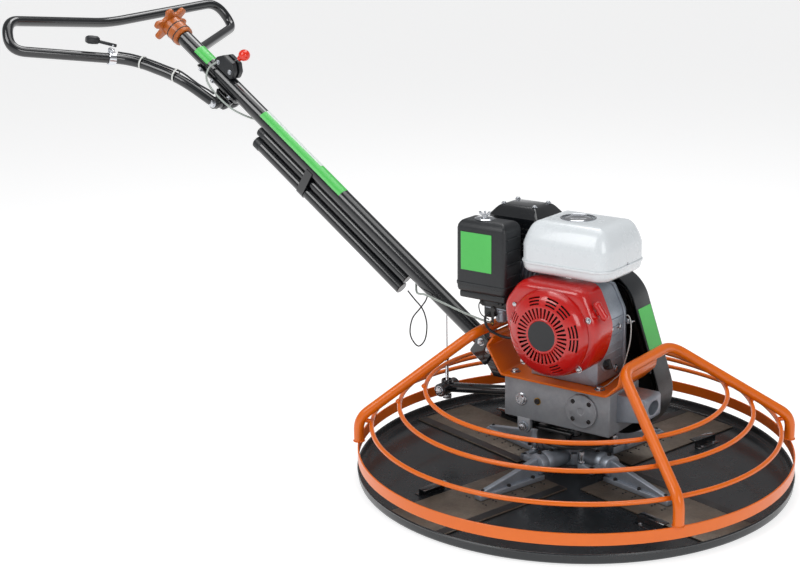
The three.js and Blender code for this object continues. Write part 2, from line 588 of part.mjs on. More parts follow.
// the clamp bracket under the tube that carries the handlebar's cross tube
function bracket() {
  const { s, below } = CROSS;
  const top = -TUBE_R - GAP;
  const plate = box(130, 302, -26, 26, top - 9, top);
  const lug = (side) => prismY([[232, top - 5], [296, top - 5], [286, -below - 22], [246, -below - 24]],
    Math.min(side * 14, side * 26), Math.max(side * 14, side * 26));
  const saddle = cylinder(TUBE_R + GAP, V(100, 0, 0), V(330, 0, 0), 20);
  const wings = box(130, 302, -30, 30, top - 9, -12);
  add('handlebar_bracket', cut(join(plate, wings, lug(-1), lug(1)), saddle,
    cylinder(CROSS_R + 0.6, V(s, -40, -below), V(s, 40, -below), 18)), BLACK_PAINT);
}

function throttle() {
  const [top, y] = [TUBE_R + GAP, 22];
  const housing = prismY([[176, top], [256, top], [256, 52], [238, 72], [196, 72], [176, 50]], -y, y);
  const slot = box(170, 262, -5, 5, top + 6, 80);
  add('lever_housing', cut(housing, slot), BLACK_PLASTIC);
  const { s, z, knobS, knobZ } = THROTTLE;
  add('throttle_lever', join(cylinder(13, V(s, -4, z), V(s, 4, z), 16),
    cylinder(3.6, V(s, 0, z), V(knobS, 0, knobZ), 10),
    new THREE.SphereGeometry(17.5, 12, 8).translate(knobS, 0, knobZ)), KNOB_RED);
}

// ---------------------------------------------------------------- handlebar
function handlebar() {
  const near = [V(-1243, -54, 909), V(-1346, -92, 980), V(-1500, -132, 1028), V(-1650, -464, 1077),
    V(-1696, -432, 1158)];
  const far = near.map((p) => V(p.x, -p.y, p.z)).reverse();
  const loop = bentTube([...near, V(-1752, 0, 1118), ...far], BAR_R, 60);
  const at = BAR_PIVOT;
  add('handlebar', join(loop, cylinder(CROSS_R, V(at.x, -62, at.z), V(at.x, 62, at.z), 18),
    cylinder(10, V(at.x, -70, at.z), V(at.x, 70, at.z), 6)), BLACK_PAINT);

  const { at: c, dir, up } = STOP;
  const ring = cylinder(BAR_R + 5, c.clone().addScaledVector(dir, -11), c.clone().addScaledVector(dir, 11), 16);
  const boss = cylinder(8, c, c.clone().addScaledVector(up, 30), 12);
  const barSpace = cylinder(BAR_R + 1, c.clone().addScaledVector(dir, -60), c.clone().addScaledVector(dir, 60), 16);
  add('stop_clamp', cut(join(ring, boss), barSpace), CHROME);
  const pivot = c.clone().addScaledVector(up, 39);
  const tip = pivot.clone().addScaledVector(dir, 62).addScaledVector(up, 12);
  add('stop_lever', join(cylinder(5, pivot.clone().addScaledVector(dir, -12), tip, 10),
    cylinder(13, tip.clone().addScaledVector(dir, -22), tip.clone().addScaledVector(dir, 20), 10)), BLACK_PLASTIC);
}

// ---------------------------------------------------------------- foot and cables
function handleFoot() {
  const clamp = box(1372, HANDLE_LEN - 4, -36, 36, -36, 36).applyMatrix4(handleFrame);
  const tongue = prismY([[BOX.x0 - GAP, 226], [BOX.x0 - GAP, 256], [-236, 300], [-276, 268], [-246, 226]], -30, 30);
  const bore = cylinder(TUBE_R + GAP, V(1300, 0, 0), V(1500, 0, 0), 20).applyMatrix4(handleFrame);
  add('handle_foot', cut(join(clamp, tongue), bore), BLACK_PAINT);
}

function cables() {
  const cable = (name, points, r, look) => add(name,
    bentTube(points.map(([x, y, z]) => V(x, y, z)), r, 0, 8, 0), look);
  cable('throttle_cable', THROTTLE_ROUTE, 3, CABLE_GREY);
  cable('stop_cable', STOP_ROUTE, 3, BLACK_PLASTIC);
  cable('slack_loop', SLACK_ROUTE, 2, BLACK_PLASTIC);
}

// ---------------------------------------------------------------- assembly
pan();
rotor();
thrustPlate();
guard();
gearbox();
yoke();
enginePlate();
engine();
handle();
handleFoot();
handlebar();
cables();

export default trowel;
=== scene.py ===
# Walk-behind power trowel: float pan, four pitching blades, orange guard, petrol engine, tube handle.
# Sizes are in millimetres until a piece is finished, which brings it to metres in the frame's axes:
# +X forward, +Y to the operator's left, +Z up, with the rotor's axis at the origin.
import json
import math

import bmesh
import bpy
from mathutils import Matrix, Vector


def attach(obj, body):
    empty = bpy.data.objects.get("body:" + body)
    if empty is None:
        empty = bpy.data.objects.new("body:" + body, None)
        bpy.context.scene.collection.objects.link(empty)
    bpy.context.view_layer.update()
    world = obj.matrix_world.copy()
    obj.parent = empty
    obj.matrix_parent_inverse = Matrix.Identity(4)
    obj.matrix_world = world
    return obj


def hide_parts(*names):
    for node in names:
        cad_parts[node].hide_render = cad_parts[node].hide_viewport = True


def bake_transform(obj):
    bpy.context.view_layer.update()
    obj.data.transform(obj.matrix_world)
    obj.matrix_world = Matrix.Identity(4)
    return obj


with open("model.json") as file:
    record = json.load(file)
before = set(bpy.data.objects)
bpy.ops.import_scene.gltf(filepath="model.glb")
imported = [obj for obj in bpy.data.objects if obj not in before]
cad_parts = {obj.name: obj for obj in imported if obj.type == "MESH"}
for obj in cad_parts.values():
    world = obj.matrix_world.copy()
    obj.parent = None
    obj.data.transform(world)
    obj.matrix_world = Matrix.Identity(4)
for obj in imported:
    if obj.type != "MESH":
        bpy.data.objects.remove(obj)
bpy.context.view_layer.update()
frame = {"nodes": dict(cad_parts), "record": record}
MM = 0.001
TURN = 2 * math.pi

# ------------------------------------------------------------------ camera
AZIMUTH, ELEVATION = math.radians(34.04), math.radians(14.58)
CAMERA_AT = Vector((1.8384, -3.1498, 1.526))
lens = bpy.data.cameras.new("view")
lens.lens, lens.sensor_width = 64.3, 36.0
lens.shift_x, lens.shift_y = -0.108, -0.0264
lens.clip_end = 200
camera = bpy.data.objects.new("view", lens)
side = Vector((math.cos(AZIMUTH), math.sin(AZIMUTH), 0))
back = Vector((math.sin(AZIMUTH) * math.cos(ELEVATION), -math.cos(AZIMUTH) * math.cos(ELEVATION),
               math.sin(ELEVATION)))
above = back.cross(side)
camera.matrix_world = Matrix((
    (side.x, above.x, back.x, CAMERA_AT.x), (side.y, above.y, back.y, CAMERA_AT.y),
    (side.z, above.z, back.z, CAMERA_AT.z), (0, 0, 0, 1)))
bpy.context.scene.collection.objects.link(camera)
bpy.context.scene.camera = camera
bpy.context.scene.view_settings.view_transform = "Standard"


# ------------------------------------------------------------------ shared effects, as node groups
def new_group(name, inputs, outputs):
    group = bpy.data.node_groups.new(name, "ShaderNodeTree")
    for label, kind, value in inputs:
        socket = group.interface.new_socket(label, in_out="INPUT", socket_type=kind)
        socket.default_value = value
    for label, kind in outputs:
        group.interface.new_socket(label, in_out="OUTPUT", socket_type=kind)
    return group, group.nodes.new("NodeGroupInput"), group.nodes.new("NodeGroupOutput")


def node(tree, kind, **settings):
    """A new node, with its inputs or its own properties set by name."""
    made = tree.nodes.new(kind)
    for key, value in settings.items():
        if key in made.inputs:
            made.inputs[key].default_value = value
        else:
            setattr(made, key, value)
    return made


def calculate(tree, operation, a, b, clamp=False):
    """The output of a Math node; a and b are numbers or sockets."""
    made = tree.nodes.new("ShaderNodeMath")
    made.operation = operation
    made.use_clamp = clamp
    for socket, value in zip(made.inputs, (a, b)):
        if isinstance(value, (int, float)):
            socket.default_value = value
        else:
            tree.links.new(value, socket)
    return made.outputs[0]


def make_drift():
    """Slow change of shade over a surface, with finer mottling inside it."""
    group, start, end = new_group(
        "Shade drift",
        [("Colour", "NodeSocketColor", (0.5, 0.5, 0.5, 1)),
         ("Other colour", "NodeSocketColor", (0.3, 0.3, 0.3, 1)),
         ("Scale", "NodeSocketFloat", 6.0), ("Amount", "NodeSocketFloat", 0.3)],
        [("Colour", "NodeSocketColor"), ("Value", "NodeSocketFloat")])
    place = node(group, "ShaderNodeTexCoord")
    broad = node(group, "ShaderNodeTexNoise", Detail=4.0, Roughness=0.55)
    fine = node(group, "ShaderNodeTexNoise", Detail=6.0, Roughness=0.65)
    group.links.new(place.outputs["Object"], broad.inputs["Vector"])
    group.links.new(place.outputs["Object"], fine.inputs["Vector"])
    group.links.new(start.outputs["Scale"], broad.inputs["Scale"])
    group.links.new(calculate(group, "MULTIPLY", start.outputs["Scale"], 9.0), fine.inputs["Scale"])
    mean = calculate(group, "MULTIPLY_ADD", broad.outputs["Fac"], 0.65)
    group.links.new(calculate(group, "MULTIPLY", fine.outputs["Fac"], 0.35), mean.node.inputs[2])
    spread = node(group, "ShaderNodeMapRange")
    spread.inputs["From Min"].default_value = 0.38
    spread.inputs["From Max"].default_value = 0.64
    group.links.new(mean, spread.inputs["Value"])
    share = calculate(group, "MULTIPLY", spread.outputs["Result"], start.outputs["Amount"], clamp=True)
    mix = node(group, "ShaderNodeMix", data_type="RGBA")
    group.links.new(share, mix.inputs["Factor"])
    group.links.new(start.outputs["Colour"], mix.inputs[6])
    group.links.new(start.outputs["Other colour"], mix.inputs[7])
    group.links.new(mix.outputs[2], end.inputs["Colour"])
    group.links.new(spread.outputs["Result"], end.inputs["Value"])
    return group


def make_edge_wear():
    """A mask that is 1 along worn outer edges and 0 elsewhere."""
    group, start, end = new_group(
        "Edge wear", [("Width", "NodeSocketFloat", 0.002), ("Amount", "NodeSocketFloat", 0.5)],
        [("Mask", "NodeSocketFloat")])
    flat = node(group, "ShaderNodeNewGeometry")
    rounded = node(group, "ShaderNodeBevel", samples=4)
    group.links.new(start.outputs["Width"], rounded.inputs["Radius"])
    match = node(group, "ShaderNodeVectorMath", operation="DOT_PRODUCT")
    group.links.new(flat.outputs["Normal"], match.inputs[0])
    group.links.new(rounded.outputs["Normal"], match.inputs[1])
    edge = node(group, "ShaderNodeMapRange")
    edge.inputs["From Min"].default_value = 0.985
    edge.inputs["From Max"].default_value = 0.8
    group.links.new(match.outputs["Value"], edge.inputs["Value"])
    place = node(group, "ShaderNodeTexCoord")
    chips = node(group, "ShaderNodeTexNoise", Scale=90.0, Detail=5.0)
    group.links.new(place.outputs["Object"], chips.inputs["Vector"])
    patch = node(group, "ShaderNodeMapRange")
    patch.inputs["From Min"].default_value = 0.46
    patch.inputs["From Max"].default_value = 0.6
    group.links.new(chips.outputs["Fac"], patch.inputs["Value"])
    both = calculate(group, "MULTIPLY", edge.outputs["Result"], patch.outputs["Result"])
    group.links.new(calculate(group, "MULTIPLY", both, start.outputs["Amount"], clamp=True),
                    end.inputs["Mask"])
    return group


def make_grain():
    """Fine surface relief: orange peel in paint, sand marks in a casting, pores in plastic."""
    group, start, end = new_group(
        "Surface grain",
        [("Scale", "NodeSocketFloat", 300.0), ("Depth", "NodeSocketFloat", 0.2),
         ("Stretch", "NodeSocketVector", (1, 1, 1))],
        [("Normal", "NodeSocketVector"), ("Value", "NodeSocketFloat")])
    place = node(group, "ShaderNodeTexCoord")
    pull = node(group, "ShaderNodeVectorMath", operation="MULTIPLY")
    group.links.new(place.outputs["Object"], pull.inputs[0])
    group.links.new(start.outputs["Stretch"], pull.inputs[1])
    relief = node(group, "ShaderNodeTexNoise", Detail=3.0, Roughness=0.6)
    group.links.new(pull.outputs["Vector"], relief.inputs["Vector"])
    group.links.new(start.outputs["Scale"], relief.inputs["Scale"])
    bump = node(group, "ShaderNodeBump", Distance=0.0006)
    group.links.new(start.outputs["Depth"], bump.inputs["Strength"])
    group.links.new(relief.outputs["Fac"], bump.inputs["Height"])
    group.links.new(bump.outputs["Normal"], end.inputs["Normal"])
    group.links.new(relief.outputs["Fac"], end.inputs["Value"])
    return group


def make_dust():
    """Pale dust that has settled on faces that look up."""
    group, start, end = new_group("Settled dust", [("Amount", "NodeSocketFloat", 0.2)],
                                  [("Mask", "NodeSocketFloat")])
    facing = node(group, "ShaderNodeNewGeometry")
    split = node(group, "ShaderNodeSeparateXYZ")
    group.links.new(facing.outputs["Normal"], split.inputs[0])
    place = node(group, "ShaderNodeTexCoord")
    cloud = node(group, "ShaderNodeTexNoise", Scale=14.0, Detail=8.0, Roughness=0.7)
    group.links.new(place.outputs["Object"], cloud.inputs["Vector"])
    settle = node(group, "ShaderNodeMapRange")
    settle.inputs["From Min"].default_value = 0.42
    settle.inputs["From Max"].default_value = 0.75
    group.links.new(cloud.outputs["Fac"], settle.inputs["Value"])
    up = calculate(group, "MAXIMUM", split.outputs["Z"], 0.0)
    both = calculate(group, "MULTIPLY", up, settle.outputs["Result"])
    group.links.new(calculate(group, "MULTIPLY", both, start.outputs["Amount"], clamp=True),
                    end.inputs["Mask"])
    return group


DRIFT, WEAR, GRAIN, DUST = make_drift(), make_edge_wear(), make_grain(), make_dust()


# ------------------------------------------------------------------ finishes
def srgb(*channels):
    """A colour given in 0 to 255, in the renderer's linear light."""
    linear = [c / 255 / 12.92 if c <= 10 else ((c / 255 + 0.055) / 1.055) ** 2.4 for c in channels]
    return (*linear, 1.0)


def finish(name, colour, other, roughness, spread=0.08, metallic=0.0, coat=0.0, drift=(6.0, 0.35),
           grain=(300.0, 0.12, (1, 1, 1)), wear=None, dust=0.0):
    """One surface finish. wear is (colour, width in metres, amount); spread is how far roughness wanders."""
    made = bpy.data.materials.new(name)
    made.use_nodes = True
    tree = made.node_tree
    shader = tree.nodes["Principled BSDF"]
    shader.inputs["Metallic"].default_value = metallic
    shader.inputs["Coat Weight"].default_value = coat
    shader.inputs["Coat Roughness"].default_value = 0.06
    shade = node(tree, "ShaderNodeGroup", node_tree=DRIFT)
    shade.inputs["Colour"].default_value = colour
    shade.inputs["Other colour"].default_value = other
    shade.inputs["Scale"].default_value, shade.inputs["Amount"].default_value = drift
    colour_out = shade.outputs["Colour"]
    rough_out = calculate(tree, "MULTIPLY_ADD", shade.outputs["Value"], spread)
    rough_out.node.inputs[2].default_value = roughness
    masks = []
    if wear:
        worn = node(tree, "ShaderNodeGroup", node_tree=WEAR)
        worn.inputs["Width"].default_value, worn.inputs["Amount"].default_value = wear[1], wear[2]
        masks.append((worn.outputs["Mask"], wear[0], 0.5))
    if dust:
        dusty = node(tree, "ShaderNodeGroup", node_tree=DUST)
        dusty.inputs["Amount"].default_value = dust
        masks.append((dusty.outputs["Mask"], srgb(150, 146, 138), 0.8))
    for mask, over, over_rough in masks:
        mix = node(tree, "ShaderNodeMix", data_type="RGBA")
        tree.links.new(mask, mix.inputs["Factor"])
        tree.links.new(colour_out, mix.inputs[6])
        mix.inputs[7].default_value = over
        colour_out = mix.outputs[2]
        blend = node(tree, "ShaderNodeMix", data_type="FLOAT")
        tree.links.new(mask, blend.inputs["Factor"])
        tree.links.new(rough_out, blend.inputs[2])
        blend.inputs[3].default_value = over_rough
        rough_out = blend.outputs[0]
    relief = node(tree, "ShaderNodeGroup", node_tree=GRAIN)
    relief.inputs["Scale"].default_value, relief.inputs["Depth"].default_value = grain[0], grain[1]
    relief.inputs["Stretch"].default_value = grain[2]
    tree.links.new(colour_out, shader.inputs["Base Color"])
    tree.links.new(rough_out, shader.inputs["Roughness"])
    tree.links.new(relief.outputs["Normal"], shader.inputs["Normal"])
    return made


ORANGE = finish("orange_enamel", srgb(230, 108, 0), srgb(214, 92, 0), 0.28, coat=0.15,
                grain=(120.0, 0.05, (1, 1, 1)), wear=(srgb(120, 66, 34), 0.0015, 0.35))
BLACK = finish("black_enamel", srgb(15, 17, 20), srgb(25, 27, 31), 0.16, coat=0.7,
               grain=(140.0, 0.05, (1, 1, 1)), wear=(srgb(78, 80, 84), 0.001, 0.4))
PAN = finish("oiled_pan_steel", srgb(26, 30, 33), srgb(40, 44, 47), 0.2, spread=0.14, coat=0.12,
             drift=(3.5, 0.6), grain=(60.0, 0.04, (1, 1, 1)), wear=(srgb(120, 122, 126), 0.001, 0.5))
BLADE = finish("rolled_blade_steel", srgb(112, 101, 89), srgb(78, 71, 64), 0.36, spread=0.16, metallic=0.5,
               drift=(16.0, 0.8), grain=(260.0, 0.22, (1, 1, 1)), wear=(srgb(172, 166, 158), 0.0012, 0.7),
               dust=0.18)
CAST = finish("cast_aluminium", srgb(166, 174, 184), srgb(128, 137, 148), 0.36, spread=0.14, metallic=0.55,
              drift=(22.0, 0.6), grain=(420.0, 0.3, (1, 1, 1)), wear=(srgb(206, 208, 212), 0.0014, 0.6))
MILLED = finish("milled_plate", srgb(152, 156, 161), srgb(122, 127, 133), 0.3, spread=0.16, metallic=0.4,
                drift=(9.0, 0.7), grain=(70.0, 0.2, (1, 1, 14)), wear=(srgb(206, 208, 212), 0.0014, 0.5))
STEEL = finish("bright_steel", srgb(196, 198, 202), srgb(160, 163, 168), 0.18, metallic=0.95,
               drift=(30.0, 0.5), grain=(500.0, 0.1, (1, 1, 1)))
CHROME = finish("chrome_plate", srgb(222, 224, 228), srgb(204, 207, 212), 0.06, spread=0.06, metallic=1.0,
                grain=(200.0, 0.02, (1, 1, 1)))
DARK = finish("dark_oiled_steel", srgb(46, 46, 48), srgb(72, 70, 68), 0.28, spread=0.16, metallic=0.6,
              drift=(20.0, 0.7), grain=(380.0, 0.2, (1, 1, 1)), wear=(srgb(120, 118, 114), 0.001, 0.6))
RED = finish("red_enamel", srgb(196, 22, 18), srgb(166, 14, 12), 0.2, coat=0.55,
             grain=(130.0, 0.05, (1, 1, 1)), wear=(srgb(120, 14, 12), 0.001, 0.3))
TANK = finish("white_tank_enamel", srgb(222, 227, 230), srgb(208, 214, 218), 0.24, coat=0.4,
              grain=(90.0, 0.03, (1, 1, 1)), wear=(srgb(190, 194, 198), 0.0015, 0.3))
PLASTIC = finish("black_moulded_plastic", srgb(28, 30, 33), srgb(42, 45, 48), 0.34, spread=0.12,
                 drift=(12.0, 0.5), grain=(900.0, 0.16, (1, 1, 1)), wear=(srgb(70, 72, 76), 0.0012, 0.5))
# Near-black finish that stands in for shade: painted shade in bores, counterbores, vent slots and behind
# grilles.
RECESS_SHADE = finish("painted_recess_shade", srgb(9, 9, 10), srgb(16, 16, 17), 0.7, grain=(300.0, 0.1, (1, 1, 1)))
RUBBER = finish("belt_rubber", srgb(24, 24, 24), srgb(38, 38, 37),
                0.62, spread=0.1, grain=(700.0, 0.25, (1, 1, 1)),
                dust=0.2)
BRASS = finish("bearing_bronze", srgb(176, 138, 70), srgb(142, 106, 52), 0.3, metallic=0.9,
               grain=(300.0, 0.12, (1, 1, 1)))
KNOB = finish("red_knob", srgb(232, 48, 22), srgb(214, 34, 16), 0.14, coat=0.5, grain=(80.0, 0.02, (1, 1, 1)))
STAR = finish("handwheel_enamel", srgb(188, 98, 28), srgb(150, 72, 16), 0.3, spread=0.14, coat=0.3,
              drift=(26.0, 0.6), grain=(200.0, 0.12, (1, 1, 1)), wear=(srgb(116, 62, 34), 0.002, 0.6))
SHEATH = finish("grey_cable_sheath", srgb(168, 176, 170), srgb(142, 150, 145), 0.4, drift=(40.0, 0.5),
                grain=(600.0, 0.15, (1, 1, 1)))
GREEN = finish("green_label", srgb(84, 198, 92), srgb(70, 182, 80), 0.3, grain=(300.0, 0.04, (1, 1, 1)))
WHITE = finish("white_label", srgb(222, 232, 226), srgb(204, 218, 210), 0.34, grain=(300.0, 0.04, (1, 1, 1)))
TIE = finish("pale_cable_tie", srgb(216, 218, 214), srgb(196, 198, 194), 0.4, grain=(500.0, 0.1, (1, 1, 1)))

SLOT_FINISHES = {
    "orange_paint": ORANGE, "black_paint": BLACK, "pan_steel": PAN, "blade_steel": BLADE, "cast_alu": CAST,
    "steel": STEEL, "dark_steel": DARK, "red_paint": RED, "tank_white": TANK, "black_plastic": PLASTIC,
    "rubber": RUBBER, "chrome": CHROME, "brass": BRASS, "knob_red": KNOB, "star_orange": STAR,
    "cable_grey": SHEATH}
node_slot = {s["node"]: s["material_slot"] for s in frame["record"]["subparts"]}
for name, part in frame["nodes"].items():
    part.data.materials.clear()
    part.data.materials.append(SLOT_FINISHES[node_slot[name]])


# ------------------------------------------------------------------ shapes, in millimetres
def toward(at, direction, spin=0.0):
    """The matrix that takes +Z at the origin to a direction at a point."""
    turn = Vector((0, 0, 1)).rotation_difference(Vector(direction).normalized()).to_matrix().to_4x4()
    return Matrix.Translation(at) @ turn @ Matrix.Rotation(spin, 4, "Z")


def soften(shape, width, steps=2, over=25):
    """Rounds the edges that are sharper than an angle."""
    limit = math.radians(over)
    edges = [e for e in shape.edges if len(e.link_faces) == 2 and e.calc_face_angle(0) > limit]
    if width > 0:
        bmesh.ops.bevel(shape, geom=edges, offset=width, segments=steps, profile=0.5, affect="EDGES",
                        clamp_overlap=True)
    return shape


def block(x0, x1, y0, y1, z0, z1, rounding=1.5, steps=2):
    """A box between two corners, with rounded edges."""
    shape = bmesh.new()
    bmesh.ops.create_cube(shape, size=1.0)
    for v in shape.verts:
        v.co = Vector(((x0 + x1) / 2 + v.co.x * (x1 - x0), (y0 + y1) / 2 + v.co.y * (y1 - y0),
                       (z0 + z1) / 2 + v.co.z * (z1 - z0)))
    return soften(shape, rounding, steps)


def rod(a, b, r, end_r=None, sides=32, rounding=0.8):
    """A round bar or cone between two points."""
    a, b = Vector(a), Vector(b)
    shape = bmesh.new()
    bmesh.ops.create_cone(shape, cap_ends=True, segments=sides, radius1=r,
                          radius2=r if end_r is None else end_r, depth=(b - a).length)
    soften(shape, rounding, 2, 50)
    shape.transform(toward((a + b) / 2, b - a))
    return shape


def turned(profile, sides=64):
    """A profile of (radius, height) points turned about Z. It closes on itself or on the axis."""
    shape = bmesh.new()
    rings = []
    for r, h in profile:
        rings.append([shape.verts.new((r * math.cos(TURN * k / sides), r * math.sin(TURN * k / sides), h))
                      for k in range(sides if r > 0 else 1)])
    for low, high in zip(rings, rings[1:]):
        for k in range(sides):
            corners = [low[k % len(low)], low[(k + 1) % len(low)], high[(k + 1) % len(high)],
                       high[k % len(high)]]
            corners = list(dict.fromkeys(corners))
            if len(corners) > 2:
                shape.faces.new(corners)
    return shape


def slab(outline, low, high, axis="Y", rounding=1.2, steps=2):
    """An outline carried along an axis: (x, z) along Y, (x, y) along Z, (y, z) along X."""
    put = {"Y": lambda p, q, h: (p, h, q),
           "Z": lambda p, q, h: (p, q, h),
           "X": lambda p, q, h: (h, p, q)}[axis]
    return loft([[put(p, q, h) for p, q in outline] for h in (low, high)], rounding, steps)


def loft(rings, rounding=0.0, steps=2, closed=False):
    """Skin over rings of equally many points, capped at both ends unless it closes on itself."""
    shape = bmesh.new()
    made = [[shape.verts.new(p) for p in ring] for ring in rings]
    pairs = list(zip(made, made[1:])) + ([(made[-1], made[0])] if closed else [])
    for low, high in pairs:
        for k in range(len(low)):
            shape.faces.new((low[k], low[(k + 1) % len(low)], high[(k + 1) % len(low)], high[k]))
    if not closed:
        shape.faces.new(made[0])
        shape.faces.new(made[-1])
    bmesh.ops.recalc_face_normals(shape, faces=shape.faces)
    return soften(shape, rounding, steps)


def round_corners(points, reach, steps):
    """The path or outline with each inner corner replaced by a smooth arc."""
    points = [Vector(p) for p in points]
    path = [points[0]]
    for before, corner, after in zip(points, points[1:], points[2:]):
        near = min(reach, (corner - before).length * 0.48, (after - corner).length * 0.48)
        a = corner + (before - corner).normalized() * near
        b = corner + (after - corner).normalized() * near
        for k in range(steps + 1):
            t = k / steps
            path.append(a * (1 - t) ** 2 + corner * 2 * t * (1 - t) + b * t * t)
    return path + [points[-1]]


def flowing(points, steps=5):
    """A smooth curve through every point."""
    points = [Vector(p) for p in points]
    ends = [points[0] * 2 - points[1]] + points + [points[-1] * 2 - points[-2]]
    path = []
    for p0, p1, p2, p3 in zip(ends, ends[1:], ends[2:], ends[3:]):
        for k in range(steps):
            t = k / steps
            path.append(0.5 * (2 * p1 + (p2 - p0) * t + (2 * p0 - 5 * p1 + 4 * p2 - p3) * t * t
                               + (3 * p1 - p0 - 3 * p2 + p3) * t ** 3))
    return path + [points[-1]]


def pipe(path, r, sides=20):
    """A round tube along a path, with level ends."""
    path = [Vector(p) for p in path]
    along = [(b - a).normalized() for a, b in zip(path, path[1:])]
    tangents = [along[0]] + [(a + b).normalized() for a, b in zip(along, along[1:])] + [along[-1]]
    across = tangents[0].orthogonal().normalized()
    rings = []
    for point, tangent in zip(path, tangents):
        across = (across - tangent * across.dot(tangent)).normalized()
        other = tangent.cross(across)
        rings.append([point + (across * math.cos(TURN * k / sides) + other * math.sin(TURN * k / sides)) * r
                      for k in range(sides)])
    return loft(rings)


def carve(shape, *tools):
    """The shape with the tools cut away."""
    held = []
    for source in (shape, *tools):
        bmesh.ops.recalc_face_normals(source, faces=source.faces)
        data = bpy.data.meshes.new("cut")
        source.to_mesh(data)
        source.free()
        held.append(bpy.data.objects.new("cut", data))
        bpy.context.scene.collection.objects.link(held[-1])
    for tool in held[1:]:
        step = held[0].modifiers.new("cut", "BOOLEAN")
        step.operation, step.solver, step.object = "DIFFERENCE", "EXACT", tool
    result = bmesh.new()
    result.from_object(held[0], bpy.context.evaluated_depsgraph_get())
    for thing in held:
        bpy.data.objects.remove(thing)
    return result


class Piece:
    """Shapes gathered into one object, each in the finish that was chosen last."""

    def __init__(self, name, material):
        self.name = name
        self.mesh = bmesh.new()
        self.finishes = []
        self.use(material)

    def use(self, material):
        if material not in self.finishes:
            self.finishes.append(material)
        self.index = self.finishes.index(material)
        return self

    def add(self, shape, place=None):
        if place is not None:
            shape.transform(place)
        bmesh.ops.remove_doubles(shape, verts=shape.verts, dist=1e-4)
        bmesh.ops.recalc_face_normals(shape, faces=shape.faces)
        for face in shape.faces:
            face.material_index = self.index
        part = bpy.data.meshes.new("part")
        shape.to_mesh(part)
        shape.free()
        self.mesh.from_mesh(part)
        bpy.data.meshes.remove(part)
        return self

    def done(self, body, *nodes, smooth=38, ride=True):
        self.mesh.transform(Matrix.Scale(MM, 4))
        data = bpy.data.meshes.new(self.name)
        self.mesh.to_mesh(data)
        self.mesh.free()
        for material in self.finishes:
            data.materials.append(material)
        data.shade_smooth()
        data.set_sharp_from_angle(angle=math.radians(smooth))
        made = bpy.data.objects.new(self.name, data)
        bpy.context.scene.collection.objects.link(made)
        if ride:
            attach(made, body)
        if nodes:
            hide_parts(*nodes)
        return made


# ------------------------------------------------------------------ repeated pieces, by Geometry Nodes
def placing_tree():
    """Sets one shape on every point, turned as the point says, and gives it its finish."""
    tree = bpy.data.node_groups.new("Place on points", "GeometryNodeTree")
    for label, kind in (("Points", "NodeSocketGeometry"), ("Shape", "NodeSocketObject"),
                        ("Finish", "NodeSocketMaterial")):
        tree.interface.new_socket(label, in_out="INPUT", socket_type=kind)
    tree.interface.new_socket("Geometry", in_out="OUTPUT", socket_type="NodeSocketGeometry")
    start, end = tree.nodes.new("NodeGroupInput"), tree.nodes.new("NodeGroupOutput")
    source = tree.nodes.new("GeometryNodeObjectInfo")
    turn = tree.nodes.new("GeometryNodeInputNamedAttribute")
    turn.data_type = "FLOAT_VECTOR"
    turn.inputs["Name"].default_value = "turn"
    rotate = tree.nodes.new("FunctionNodeEulerToRotation")
    place = tree.nodes.new("GeometryNodeInstanceOnPoints")
    real = tree.nodes.new("GeometryNodeRealizeInstances")
    paint = tree.nodes.new("GeometryNodeSetMaterial")
    link = tree.links.new
    link(start.outputs["Points"], place.inputs["Points"])
    link(start.outputs["Shape"], source.inputs["Object"])
    link(source.outputs["Geometry"], place.inputs["Instance"])
    link(turn.outputs["Attribute"], rotate.inputs["Euler"])
    link(rotate.outputs["Rotation"], place.inputs["Rotation"])
    link(place.outputs["Instances"], real.inputs["Geometry"])
    link(real.outputs["Geometry"], paint.inputs["Geometry"])
    link(start.outputs["Finish"], paint.inputs["Material"])
    link(paint.outputs["Geometry"], end.inputs["Geometry"])
    return tree


def ring_tree():
    """A level ring of round rod."""
    tree = bpy.data.node_groups.new("Guard ring", "GeometryNodeTree")
    for label, kind in (("Ring radius", "NodeSocketFloat"), ("Rod radius", "NodeSocketFloat"),
                        ("Height", "NodeSocketFloat"), ("Finish", "NodeSocketMaterial")):
        tree.interface.new_socket(label, in_out="INPUT", socket_type=kind)
    tree.interface.new_socket("Geometry", in_out="OUTPUT", socket_type="NodeSocketGeometry")
    start, end = tree.nodes.new("NodeGroupInput"), tree.nodes.new("NodeGroupOutput")
    ring = node(tree, "GeometryNodeCurvePrimitiveCircle", Resolution=200)
    section = node(tree, "GeometryNodeCurvePrimitiveCircle", Resolution=16)
    skin = tree.nodes.new("GeometryNodeCurveToMesh")
    lift = tree.nodes.new("GeometryNodeTransform")
    offset = tree.nodes.new("ShaderNodeCombineXYZ")
    real = tree.nodes.new("GeometryNodeRealizeInstances")
    paint = tree.nodes.new("GeometryNodeSetMaterial")
    link = tree.links.new
    link(start.outputs["Ring radius"], ring.inputs["Radius"])
    link(start.outputs["Rod radius"], section.inputs["Radius"])
    link(ring.outputs["Curve"], skin.inputs["Curve"])
    link(section.outputs["Curve"], skin.inputs["Profile Curve"])
    link(skin.outputs["Mesh"], lift.inputs["Geometry"])
    link(start.outputs["Height"], offset.inputs["Z"])
    link(offset.outputs["Vector"], lift.inputs["Translation"])
    link(lift.outputs["Geometry"], real.inputs["Geometry"])
    link(real.outputs["Geometry"], paint.inputs["Geometry"])
    link(start.outputs["Finish"], paint.inputs["Material"])
    link(paint.outputs["Geometry"], end.inputs["Geometry"])
    return tree


PLACING, RING = placing_tree(), ring_tree()


